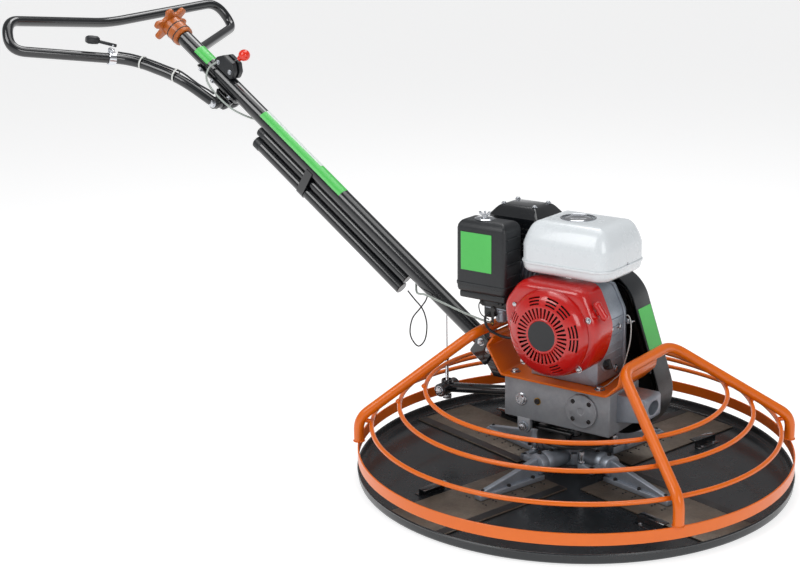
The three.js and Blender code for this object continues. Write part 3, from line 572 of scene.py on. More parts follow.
def settled(name, data, tree, inputs, smooth=38):
    """Runs a node tree on a mesh and keeps its result as a plain object."""
    carrier = bpy.data.objects.new("carrier", data)
    bpy.context.scene.collection.objects.link(carrier)
    step = carrier.modifiers.new("nodes", "NODES")
    step.node_group = tree
    for socket in tree.interface.items_tree:
        if socket.item_type == "SOCKET" and socket.in_out == "INPUT" and socket.name in inputs:
            step[socket.identifier] = inputs[socket.name]
    carrier.update_tag()
    bpy.context.view_layer.update()
    result = bpy.data.meshes.new_from_object(carrier.evaluated_get(bpy.context.evaluated_depsgraph_get()))
    bpy.data.objects.remove(carrier)
    result.name = name
    if "turn" in result.attributes:
        result.attributes.remove(result.attributes["turn"])
    result.shade_smooth()
    result.set_sharp_from_angle(angle=math.radians(smooth))
    made = bpy.data.objects.new(name, result)
    bpy.context.scene.collection.objects.link(made)
    return made


def repeat(name, body, shape, spots, material):
    """One shape, drawn in millimetres along +Z, set at many spots: (place, direction, spin)."""
    shape.transform(Matrix.Scale(MM, 4))
    pattern = bpy.data.meshes.new("pattern")
    shape.to_mesh(pattern)
    shape.free()
    source = bpy.data.objects.new("pattern", pattern)
    bpy.context.scene.collection.objects.link(source)
    places = [toward(Vector(at) * MM, direction, spin) for at, direction, spin in spots]
    points = bpy.data.meshes.new("spots")
    points.from_pydata([m.to_translation() for m in places], [], [])
    turns = points.attributes.new("turn", "FLOAT_VECTOR", "POINT")
    turns.data.foreach_set("vector", [c for m in places for c in m.to_euler()])
    made = settled(name, points, PLACING, {"Shape": source, "Finish": material})
    bpy.data.objects.remove(source)
    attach(made, body)
    return made


def hex_bolt(r, h, washer=0.0):
    """A hexagon head on a washer, standing on the origin."""
    shape = turned([(0, 0), (washer or r * 0.9, 0), (washer or r * 0.9, 1.4), (0, 1.4)], 28)
    corners = [(r * math.cos(TURN * k / 6), r * math.sin(TURN * k / 6)) for k in range(6)]
    head = slab(corners, 1.4, h, "Z", min(1.0, h * 0.16), 2)
    dome = turned([(0, h + 0.5), (r * 0.45, h + 0.4), (r * 0.66, h - 0.2), (0, h - 0.2)], 24)
    for extra in (head, dome):
        data = bpy.data.meshes.new("head")
        extra.to_mesh(data)
        extra.free()
        shape.from_mesh(data)
        bpy.data.meshes.remove(data)
    return shape


def socket_screw(r, h):
    """A round head with a hexagon socket, standing on the origin."""
    sides = 24
    deep = h * 0.45

    def ring(radius, z, hexed=False):
        points = []
        for k in range(sides):
            a = TURN * k / sides
            lean = (a % (TURN / 6)) - TURN / 12
            reach = radius * math.cos(TURN / 12) / math.cos(lean) if hexed else radius
            points.append((reach * math.cos(a), reach * math.sin(a), z))
        return points
    return loft([ring(r, 0), ring(r, h - 0.8), ring(r - 0.8, h), ring(r * 0.55, h, True),
                 ring(r * 0.52, h - deep, True)])


# ------------------------------------------------------------------ pan, blades and arms
ROTOR_ANGLE = math.radians(-14.7)
ARM_Z = 50
arm_places = [Matrix.Rotation(ROTOR_ANGLE + k * TURN / 4, 4, "Z") for k in range(4)]


def float_pan():
    pan = Piece("pan_dish", PAN)
    pan.add(turned([(0, 0), (572, 0), (580, 1.5), (586, 5), (588, 10), (588, 24), (589.5, 25.5), (590, 27.8),
                    (588.6, 29.6), (586.5, 30), (584.8, 28.6), (584, 25), (584, 12), (581.5, 7), (575, 3.4),
                    (560, 3), (0, 3)], 240))
    for place in arm_places:
        z_bar = [(-146, 2), (-126, 2), (-126, 21), (-106, 21), (-106, 24), (-129, 24), (-129, 5), (-146, 5)]
        pan.use(BLACK).add(slab(z_bar, 354, 440, "X", 0.7), place)
        for x in (372, 422):
            pan.use(STEEL).add(socket_screw(5, 3.5), place @ toward((x, -137, 4.8), (0, 0, 1)))
    pan.done("pan", "float_pan")


def blades_and_arms():
    for k, place in enumerate(arm_places, 1):
        body = f"arm_assembly_{k}"
        blade = Piece(f"blade_plate_{k}", BLADE)
        blade.add(block(122, 558, -98, 98, 3.6, 7.6, 1.2, 2), place)
        blade.use(DARK).add(block(126, 552, 70, 96, 7.4, 8.6, 0.4, 1), place)
        blade.done(body, f"blade_{k}")
        rows = [(place @ Vector((x, y, 7.4)), (0, 0, 1), 0.3 * k)
                for x in range(150, 360, 34) for y in (-38, -27, 27, 38)]
        repeat(f"blade_screws_{k}", body, socket_screw(2.9, 1.9), rows, DARK)

        arm = Piece(f"arm_casting_{k}", CAST)
        arm.add(slab([(128, -19), (350, -13), (350, 13), (128, 19)], 7.9, 22, "Z", 2.2, 3), place)
        arm.add(slab([(122, 20), (344, 20), (344, 27), (210, 54), (160, 66), (122, 72)], -8, 8, "Y", 2.2, 3),
                place)
        arm.add(rod((118.3, 0, ARM_Z), (144, 0, ARM_Z), 28, sides=48, rounding=2.5), place)
        arm.add(block(120, 136, -70, -12, ARM_Z - 9, ARM_Z + 9, 2.2, 3), place)
        arm.add(block(82, 136, -70, -54, ARM_Z - 9, ARM_Z + 9, 2.2, 3), place)
        arm.use(STEEL).add(rod((62, 0, ARM_Z), (130, 0, ARM_Z), 12), place)
        arm.add(rod((90, -62, ARM_Z + 8), (90, -62, 91.8), 7), place)
        arm.add(hex_bolt(10, 7), place @ toward((90, -62, ARM_Z + 9), (0, 0, 1)))
        arm.use(DARK)
        for x, y in ((166, 14), (166, -14), (250, 12), (250, -12), (332, 0.1)):
            lift = 22 if abs(y) > 1 else 27
            arm.add(socket_screw(5, 6), place @ toward((x, y * 0.92, lift - 0.5), (0, 0, 1)))
        arm.add(socket_screw(6, 7), place @ toward((131, 0, 77), (0, 0, 1)))
        arm.done(body, f"arm_{k}")


def hub():
    spider = Piece("spider_casting", CAST)
    spider.add(turned([(17.3, 24), (42, 24), (46, 28), (46, 74), (40, 80), (17.3, 80), (17.3, 24)], 64))
    for place in arm_places:
        barrel = turned([(12.4, 25), (25, 25), (25, 98), (28, 100), (28, 116), (26.5, 118), (12.4, 118),
                         (12.4, 25)], 40)
        spider.add(barrel, place @ toward((0, 0, ARM_Z), (1, 0, 0)))
        spider.use(DARK).add(socket_screw(6, 5), place @ toward((88, 0, ARM_Z + 24), (0, 0, 1)))
        between = place @ Matrix.Rotation(TURN / 8, 4, "Z")
        spider.use(STEEL).add(hex_bolt(10, 10, 13), between @ toward((45, 0, 52), (1, 0, 0)))
        spider.use(CAST).add(block(28, 62, -9, 9, 34, 66, 3, 3), between)
    spider.done("rotor", "spider_hub")
    plate = Piece("pressure_plate", DARK)
    plate.add(turned([(20, 93), (96, 93), (104, 95), (104, 100), (102, 102), (72, 102), (60, 99), (20, 99),
                      (20, 93)], 96))
    plate.done("thrust", "thrust_plate")


# ------------------------------------------------------------------ guard
GUARD_R, RING_ROD_R = 14, 6
CREST = {"front": (213, 132, 355), "rear": (-240, 132, 378)}
LEG_R, LEG_ANGLE, LEG_BEND = 585, math.radians(34.8), 148


def leg(sign_x, sign_y, r, z):
    return Vector((sign_x * r * math.cos(LEG_ANGLE), sign_y * r * math.sin(LEG_ANGLE), z))


def bead(piece, at, direction, r, thick):
    """A ring of weld round a joint."""
    ring = [(r + thick * math.cos(TURN * k / 10), thick * 0.8 * math.sin(TURN * k / 10)) for k in range(10)]
    shape = turned(ring + ring[:1], 28)
    for n, v in enumerate(shape.verts):
        v.co *= 1 + 0.02 * math.sin(n * 2.3)
    piece.add(shape, toward(at, direction))


def guard():
    band = Piece("guard_hoop", ORANGE)
    band.add(turned([(584, 51.8), (584.8, 51), (587.2, 51), (588, 51.8), (588, 81.2), (587.2, 82),
                     (584.8, 82),
                     (584, 81.2), (584, 51.8)], 240))
    band.done("frame", "guard_band")
    top = leg(1, 1, LEG_R, LEG_BEND)
    crest_x, crest_y, crest_z = CREST["front"]
    slope = (crest_z - LEG_BEND) / math.hypot(top.x - crest_x, top.y - crest_y)
    drop = (GUARD_R + RING_ROD_R + 2) * math.hypot(1, slope)
    heights = {"low": (549, 139), "mid": (474, LEG_BEND + slope * (LEG_R - 474) - drop),
               "top": (404, LEG_BEND + slope * (LEG_R - 404) - drop)}
    for name, (radius, height) in heights.items():
        ring = settled(f"guard_rod_{name}", bpy.data.meshes.new("empty"), RING, {
            "Ring radius": radius * MM, "Rod radius": RING_ROD_R * MM,
            "Height": height * MM, "Finish": ORANGE})
        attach(ring, "frame")
        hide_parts(f"guard_ring_{name}")
    for name, way in (("front", 1), ("rear", -1)):
        crest = CREST[name]
        tube = Piece(f"guard_leg_{name}", ORANGE)
        near, far = Vector((crest[0], -crest[1], crest[2])), Vector(crest)
        path = round_corners([leg(way, -1, LEG_R, 82.3), leg(way, -1, LEG_R, LEG_BEND), near, far,
                              leg(way, 1, LEG_R, LEG_BEND), leg(way, 1, LEG_R, 82.3)], 42, 10)
        tube.add(pipe(path, GUARD_R, 32))
        for hand in (-1, 1):
            bead(tube, leg(way, hand, LEG_R, 84), (0, 0, 1), GUARD_R, 2.4)
            crown = near if hand < 0 else far
            for radius, height in heights.values():
                spot = leg(way, hand, radius, height)
                sideways = Vector((-spot.y, spot.x, 0)).normalized()
                if radius > 500:
                    tube.add(rod(spot, leg(way, hand, 575, height + 4), RING_ROD_R, sides=20))
                    bead(tube, leg(way, hand, 572, height + 3), spot, RING_ROD_R, 2.4)
                else:
                    reach = (crown - leg(way, hand, LEG_R, LEG_BEND)).normalized()
                    square = Vector((0, 0, 1)) - reach * reach.z
                    lump = turned([(0, -7), (5.5, -5.5), (7, 0), (5.5, 5.5), (0, 7)], 16)
                    tube.add(lump, toward(spot + square.normalized() * RING_ROD_R, square))
                    tube.add(rod(spot - sideways * 12 + square * 5, spot + sideways * 12 + square * 5, 3.2,
                                 sides=12))
        tube.done("frame", f"guard_tube_{name}")


# ------------------------------------------------------------------ gearbox and pitch lever
PULLEY_X, PULLEY_Z = 68, 205
YOKE_PIN_X, YOKE_PIN_Z = -114, 125
UPSTAND_X, CROSS_Z = -425, 150


def gearbox():
    box = Piece("gearbox_casing", MILLED)
    body = carve(block(-176, 150, -80, 80, 145, 262, 4, 3), rod((0, 0, 130), (0, 0, 170), 19),
                 block(-60, 130, -62, 62, 156, 250, 0))
    box.add(body)
    nose = slab(round_corners([(148, 176), (236, 192), (236, 256), (148, 256)], 10, 4), -42, 42, "Y", 4, 3)
    tunnel = loft([[(x, 28.5 * math.cos(TURN * k / 40),
                     224 + 19 * math.sin(TURN * k / 40)) for k in range(40)]
                   for x in (156, 262)])
    box.use(CAST).add(carve(nose, tunnel))
    # A near-black plate at the blind end of the nose bore, as painted shade in the hollow.
    box.use(RECESS_SHADE).add(block(152, 157, -30, 30, 203, 246, 0))
    box.use(MILLED)
    for y0, y1 in ((-80, -66), (66, 80)):
        box.add(slab(round_corners([(-134, 150), (-134, 118), (-124, 104), (-104, 104), (-94, 118),
                                    (-94, 150)], 6, 3),
                     y0, y1, "Y", 1.5, 2))
    box.use(CAST)
    for sign in (-1, 1):
        box.add(rod((YOKE_PIN_X, sign * 79, YOKE_PIN_Z), (YOKE_PIN_X, sign * 85, YOKE_PIN_Z),
                    15, rounding=1.5))
    box.use(STEEL).add(hex_bolt(8.5, 8, 11), toward((YOKE_PIN_X, -85, YOKE_PIN_Z), (0, -1, 0)))
    box.add(turned([(0, 0), (18, 0), (18, 2.4), (16.5, 3.6), (14, 3.6), (13.4, 7), (12, 8.4), (8.4, 8.4),
                    (7.4, 5.5),
                    (0, 5.5)], 48), toward((-122, -80, 200), (0, -1, 0)))
    box.use(DARK).add(socket_screw(8, 5), toward((-70, -80, 203), (0, -1, 0)))
    box.use(BRASS).add(turned([(0, 0), (10.5, 0), (10.5, 1.2), (0, 1.2)], 32),
                       toward((-70, -80, 203), (0, -1, 0)))
    box.use(STEEL)
    for x in (-150, -20, 110):
        box.add(hex_bolt(8, 7, 10), toward((x, 80, 238), (0, 1, 0)))
        box.add(hex_bolt(8, 7, 10), toward((x, 80, 166), (0, 1, 0)))
    box.done("frame", "gearbox_housing")

    lid = Piece("bearing_cover", MILLED)
    lid.add(turned([(0, 0), (46, 0), (46, 6), (44.5, 7.6), (30, 7.6), (29, 8), (10, 8), (9, 7.2), (0, 7.2)],
                   72),
            toward((PULLEY_X, -80.3, PULLEY_Z), (0, -1, 0)))
    for k in range(4):
        a = math.radians(45 + 90 * k)
        x, z = PULLEY_X + 34 * math.cos(a), PULLEY_Z + 34 * math.sin(a)
        # Near-black discs round the cover screws, as painted shade in their counterbores.
        lid.use(RECESS_SHADE).add(turned([(0, 0), (6.4, 0), (6.4, 8.1), (0, 8.1)], 24),
                         toward((x, -80.2, z), (0, -1, 0)))
        lid.use(DARK).add(socket_screw(5, 5), toward((x, -86, z), (0, -1, 0)))
    lid.done("frame", "gearbox_cover")


def pitch_lever():
    lever = Piece("pitch_lever", BLACK)
    lever.add(rod((-112, -64, 125), (-112, 64, 125), 15, rounding=1.5))
    for sign in (-1, 1):
        lever.add(block(-112, 22, min(sign * 40, sign * 58), max(sign * 40, sign * 58), 113, 123, 2.5, 3))
        lever.add(rod((10, sign * 49, 103), (10, sign * 49, 120), 8, rounding=2))
    lever.add(block(-212, -112, -22, 22, 117, 130, 2.5, 3))
    lever.add(block(-212, -198, -22, 22, 117, 200, 2.5, 3))
    lever.add(rod((-200, 0, 184), (UPSTAND_X, 0, CROSS_Z), 14, rounding=1))
    cross = turned([(9, -38), (17, -38), (19, -36), (19, 36), (17, 38), (9, 38), (9, -38)], 40)
    lever.add(cross, toward((UPSTAND_X, 0, CROSS_Z), (0, 1, 0)))
    lever.add(turned([(12, 0), (17, 0), (17, 22), (15.5, 24), (12, 24), (12, 0)], 36),
              Matrix.Translation((UPSTAND_X, 0, CROSS_Z)))
    lever.use(STEEL).add(hex_bolt(11, 6, 13), toward((UPSTAND_X, -37, CROSS_Z), (0, -1, 0)))
    lever.add(hex_bolt(11, 6, 13), toward((UPSTAND_X, 37, CROSS_Z), (0, 1, 0)))
    lever.done("yoke", "pitch_yoke")

    thread = [(0, 116)]
    for k in range(50):
        thread += [(4.2, 116.6 + 2.5 * k), (5, 117.8 + 2.5 * k)]
    pull = Piece("pitch_screw_rod", STEEL)
    pull.add(turned(thread + [(3, 242), (0, 242)], 20), Matrix.Translation((UPSTAND_X, 0, 0)))
    pull.add(slab([(UPSTAND_X + 14 * math.cos(TURN * k / 6), 14 * math.sin(TURN * k / 6)) for k in range(6)],
                  118, 129, "Z", 1))
    pull.use(DARK).add(rod((UPSTAND_X, 0, 234), (UPSTAND_X, 0, 250), 6.5, 4, sides=20))
    pull.use(STEEL).add(rod((UPSTAND_X, 0, 240), (UPSTAND_X, 0, 394), 1.9, sides=12, rounding=0))
    pull.done("lift_rod", "pitch_rod")


# ------------------------------------------------------------------ engine
NECK_X, NECK_Y = 2, -3
CRANK_X, CRANK_Z = 8, 428
PULL_AT, PULL_WAY = Vector((130, -128, 490)), Vector((0.793, 0, 0.609))


def oval(x0, x1, y0, y1, corner, inset, z, steps=8):
    """A level rounded rectangle at one height."""
    corner = max(corner - inset, 3)
    x0, x1, y0, y1 = x0 + inset, x1 - inset, y0 + inset, y1 - inset
    ring = []
    for n, (cx, cy) in enumerate(((x1 - corner, y1 - corner), (x0 + corner, y1 - corner),
                                  (x0 + corner, y0 + corner), (x1 - corner, y0 + corner))):
        for k in range(steps + 1):
            a = math.radians(90 * n + 90 * k / steps)
            ring.append((cx + corner * math.cos(a), cy + corner * math.sin(a), z))
    return ring


def engine_plate():
    tray = Piece("folded_engine_plate", ORANGE)
    line = [(-204, 366), (-224, 338), (-176, 262.3), (150, 262.3), (188, 300), (194, 338)]
    line = [tuple(p) for p in round_corners([(x, z, 0) for x, z in line], 9, 5)]
    outer = [Vector((p[0], p[1])) for p in line]
    inner = []
    for n, p in enumerate(outer):
        a = (p - outer[max(n - 1, 0)]).normalized() if n else Vector((0, 0))
        b = (outer[n + 1] - p).normalized() if n + 1 < len(outer) else Vector((0, 0))
        d = (a + b).normalized()
        inner.append(p + Vector((-d.y, d.x)) * 6)
    tray.add(slab([tuple(p) for p in outer + inner[::-1]], -100, 100, "Y", 0.9, 2))
    tray.add(slab([(186, 330), (193, 330), (207, 338), (207, 342), (198, 342), (186, 336)], -96, 96, "Y", 1))
    tray.add(block(-232, -206, -70, 70, 352, 365, 2, 2))
    tray.use(STEEL)
    for x, y in ((-150, -66), (-150, 66), (112, -66), (124, 66)):
        tray.add(hex_bolt(10, 9, 14), toward((x, y, 268.2), (0, 0, 1)))
    tray.done("frame", "engine_plate")


def crankcase():
    casing = Piece("crankcase_casting", CAST)
    side_view = [(-104, 269), (102, 269), (98, 448), (60, 520), (-52, 520), (-104, 458)]
    casing.add(slab(round_corners(side_view + side_view[:1], 16, 5)[:-1], -60, 78, "Y", 4, 3))
    rim = [(x + (3 if x > 0 else -1), z) for x, z in side_view]
    casing.add(slab(round_corners(rim + rim[:1], 16, 5)[:-1], 78, 86, "Y", 1.5, 2))
    casing.add(slab([(CRANK_X + (x - CRANK_X) * 0.94, 394 + (z - 394) * 0.94) for x, z in side_view],
                    86, 110, "Y", 8, 4))
    for z in range(300, 440, 22):
        casing.add(block(88, 101.5, -54, 74, z, z + 4, 1.2, 2))
    casing.add(rod((94, -22, 318), (102, -22, 322), 17, rounding=2))
    casing.add(block(40, 86, -58, -20, 452, 508, 8, 4))
    casing.use(PLASTIC).add(turned([(0, 0), (13, 0), (13, 6), (7, 9), (7, 16), (0, 16)], 28),
                            toward((98, -22, 320), (0.94, 0, 0.34)))
    casing.add(block(-14, 14, -3, 3, 6, 24, 2, 3), toward((98, -22, 320), (0.94, 0, 0.34)))
    casing.use(STEEL).add(hex_bolt(9, 8, 13), toward((100, 34, 296), (1, 0, 0)))
    for x, z in ((99, 366), (94, 446), (58, 506), (-40, 506), (-92, 440), (-92, 300), (99, 290)):
        casing.add(hex_bolt(6.5, 6, 8.5), toward((x * 0.93, 86, z), (0, 1, 0)))
    for y in (-30, 10, 52):
        casing.add(hex_bolt(7, 7, 9), toward((98.5, y, 410), (1, 0, 0.02)))
    casing.use(PLASTIC).add(pipe(flowing([(88, -58, 520), (100, -57, 490), (112, -54, 456), (113, -46, 432),
                                          (100, -40, 410)]), 2.6, 12))
    casing.use(TIE).add(pipe(flowing([(98, 88, 430), (110, 87, 430), (120, 82, 408), (123, 72, 362),
                                      (117, 58, 312),
                                      (110, 44, 280), (106, 20, 271), (112, -20, 270), (112, -52, 271)]),
                             1.6, 10))
    casing.use(STEEL).add(rod((96, 98, 412), (106, 98, 412), 8, rounding=1.5))
    casing.add(rod((104, 98, 412), (116, 98, 412), 3))
    for hand in (-1, 1):
        wing = [(3, 98 + hand * 3), (9, 98 + hand * 12), (13, 98 + hand * 13), (13, 98 + hand * 9),
                (8, 98 + hand * 3)]
        casing.add(slab([(104 + x, y) for x, y in wing], 410.6, 413.4, "Z", 0.6))
    casing.done("frame", "crankcase")

    head = Piece("cylinder_barrel", CAST)
    outline = [(-236, 452, 0), (-118, 440, 0), (-108, 470, 0), (-70, 526, 0), (-112, 552, 0), (-214, 562, 0)]
    rounded = round_corners(outline + outline[:1], 8, 3)[:-1]
    head.add(slab([(p[0], p[1]) for p in rounded], -12, 80, "Y", 3, 2))
    head.use(PLASTIC).add(rod((-236, 34, 500), (-262, 34, 496), 11, 8, rounding=3))
    head.add(pipe(flowing([(-260, 34, 496), (-276, 34, 470), (-250, 20, 440), (-180, -20, 436),
                           (-118, -58, 452)]), 3.5, 12))
    head.done("frame", "cylinder_head")
    axis = Vector((-0.97, 0, 0.24))
    fins = [(Vector((-112, 34, 496)) + axis * (13 * k), axis, 0) for k in range(8)]
    repeat("cooling_fins", "frame", block(-50, 50, -58, 58, 0, 2.6, 0.8, 1), fins, CAST)


def blower():
    shroud = Piece("fan_shroud", RED)
    arc = [(CRANK_X + 122 * math.cos(math.radians(a)), CRANK_Z + 122 * math.sin(math.radians(a)))
           for a in range(205, 301, 8)]
    rest = [(x + CRANK_X, z + CRANK_Z) for x, z in
            ((104, -88), (128, -40), (140, 24), (94, 126), (-100, 126), (-150, 60), (-138, -20))]
    line = [(p[0], p[1]) for p in round_corners([(*arc[-1], 0), *[(*p, 0) for p in rest], (*arc[0], 0)],
                                                26, 6)[1:-1]]
    whole = arc + line
    rings = []
    for y, inset in ((-64, 0), (-118, 0), (-130, 1.5), (-139, 5), (-145, 10), (-148.5, 17), (-150, 26)):
        share = 1 - inset / 140
        rings.append([(CRANK_X + (x - CRANK_X) * share, y,
                       CRANK_Z + (z - CRANK_Z) * share) for x, z in whole])
    shroud.add(loft(rings))
    # A near-black disc behind the starter grille, as painted shade seen through its slots.
    shroud.use(RECESS_SHADE).add(turned([(0, 0), (112, 0), (112, 1.5), (0, 1.5)], 64),
                        toward((CRANK_X, -150, CRANK_Z), (0, -1, 0)))
    shroud.use(RED).add(rod(PULL_AT - PULL_WAY * 10, PULL_AT + PULL_WAY * 4, 13, rounding=2))
    shroud.use(STEEL)
    for angle in (24, 151, 229, 316):
        a = math.radians(angle)
        at = (CRANK_X + 122 * math.cos(a), -147.5, CRANK_Z + 122 * math.sin(a))
        shroud.add(hex_bolt(6.5, 6, 9), toward(at, (0, -1, 0)))
    shroud.done("frame", "blower_housing")

    steps = 144
    stations = [(40, -190.6), (42, -191.8), (44.5, -191.8), (46, -190.4), (47, -190), (74, -189),
                (77, -188.6), (82, -187),
                (86, -185.4), (90, -183.8), (94, -182), (98, -180), (102, -177.4), (106, -173.6),
                (111, -167.5),
                (114.5, -160), (116, -150.3)]
    groups = ((98, 118), (66, 86), (40, 60), (6, 26), (-18, 2), (-76, -56), (150, 168))
    grille = bmesh.new()
    rings = [[grille.verts.new((CRANK_X + r * math.cos(TURN * k / steps),
                                y, CRANK_Z + r * math.sin(TURN * k / steps)))
              for k in range(steps)] for r, y in stations]
    for n, (low, high) in enumerate(zip(rings, rings[1:])):
        r = stations[n][0]
        for k in range(steps):
            angle = (360 * (k + 0.5) / steps + 180) % 360 - 180
            slot = r == 47 and k % 4 < 2
            louvre = r in (82, 90, 98) and any(a <= angle <= b for a, b in groups)
            if not slot and not louvre:
                grille.faces.new((low[k], low[(k + 1) % steps], high[(k + 1) % steps], high[k]))
    bmesh.ops.recalc_face_normals(grille, faces=grille.faces)
    if sum(f.normal.y for f in grille.faces) > 0:
        bmesh.ops.reverse_faces(grille, faces=grille.faces)
    bmesh.ops.solidify(grille, geom=grille.faces[:], thickness=3.0)
    cover = Piece("recoil_starter_cover", RED)
    cover.add(grille)
    # A near-black drum inside the starter cover, as painted shade seen through its slots and louvres.
    cover.use(RECESS_SHADE).add(turned([(0, 0), (100, 0), (104, -14), (104, -20), (0, -20)], 64),
                       toward((CRANK_X, -166, CRANK_Z), (0, -1, 0)))
    cover.use(PLASTIC).add(turned([(0, 0), (41, 0), (41.5, 2.6), (40, 4.2), (0, 4.8)], 64),
                           toward((CRANK_X, -186.6, CRANK_Z), (0, -1, 0)))
    cover.done("frame", "recoil_cover")

    along, at = PULL_WAY, PULL_AT
    grip = Piece("starter_handle", RED)
    bar = [(0, -27), (6, -26.5), (9.5, -23), (10.6, -17), (9, -8), (10.4, 0), (9, 8), (10.6, 17), (9.5, 23),
           (6, 26.5), (0, 27)]
    grip.add(turned(bar, 36), toward(at + along * 20, (-along.z, 0, along.x)))
    grip.add(rod(at + along * 7, at + along * 17, 6.5, 8, rounding=1.5))
    grip.use(DARK).add(rod(at - along * 30, at + along * 9, 2.5, sides=12))
    grip.done("starter", "starter_grip")


def tank():
    vessel = Piece("fuel_tank_shell", TANK)
    x0, x1, y0, y1 = -118, 152, -118, 112
    rings = [oval(x0, x1, y0, y1, 46, i, z) for z, i in
             ((566, 18), (568, 12), (574, 6), (583, 3.6), (590, 3), (591, 0.6), (592, 0), (596, 0),
              (597, 0.6), (598, 3),
              (640, 3), (650, 6), (660, 10), (670, 14.5), (680, 20), (688, 26), (694, 32.5), (698, 39),
              (700.5, 47),
              (701.6, 57))]
    vessel.add(carve(loft(rings),
                     rod((NECK_X, NECK_Y, 680), (NECK_X, NECK_Y, 720), 46, sides=64, rounding=0)))
    vessel.use(STEEL).add(turned([(44, 19.5), (47.5, 21.5), (48, 22.8), (45.5, 23.4), (43.2, 21.5),
                                  (44, 19.5)], 64),
                          Matrix.Translation((NECK_X, NECK_Y, 680)))
    vessel.use(BLACK)
    for x in (-90, 116):
        vessel.add(block(x - 10, x + 10, -60, 60, 558, 567, 2, 2))
    vessel.use(STEEL)
    for x, y in ((-110, 0), (144, 0)):
        vessel.add(hex_bolt(7, 6, 9), toward((x, y, 596.5), (0, 0, 1)))
    vessel.done("frame", "fuel_tank")
    cap = Piece("tank_cap", CHROME)
    outline = []
    steps = 160
    for k in range(steps):
        reach = 38.6 + 1.3 * math.cos(20 * TURN * k / steps)
        outline.append((NECK_X + reach * math.cos(TURN * k / steps),
                        reach * math.sin(TURN * k / steps) + NECK_Y))
    cap.add(slab(outline, 682.5, 697.5, "Z", 0))
    cap.add(turned([(0, 0), (36, 0), (37.5, 3), (0, 3)], 64), Matrix.Translation((NECK_X, NECK_Y, 680.3)))
    cap.add(turned([(0, 15), (38.4, 15.6), (37.4, 18.4), (33, 20.8), (20, 21.6), (18, 20.6), (0, 20.6)], 64),
            Matrix.Translation((NECK_X, NECK_Y, 681)))
    cap.done("cap", "fuel_cap")


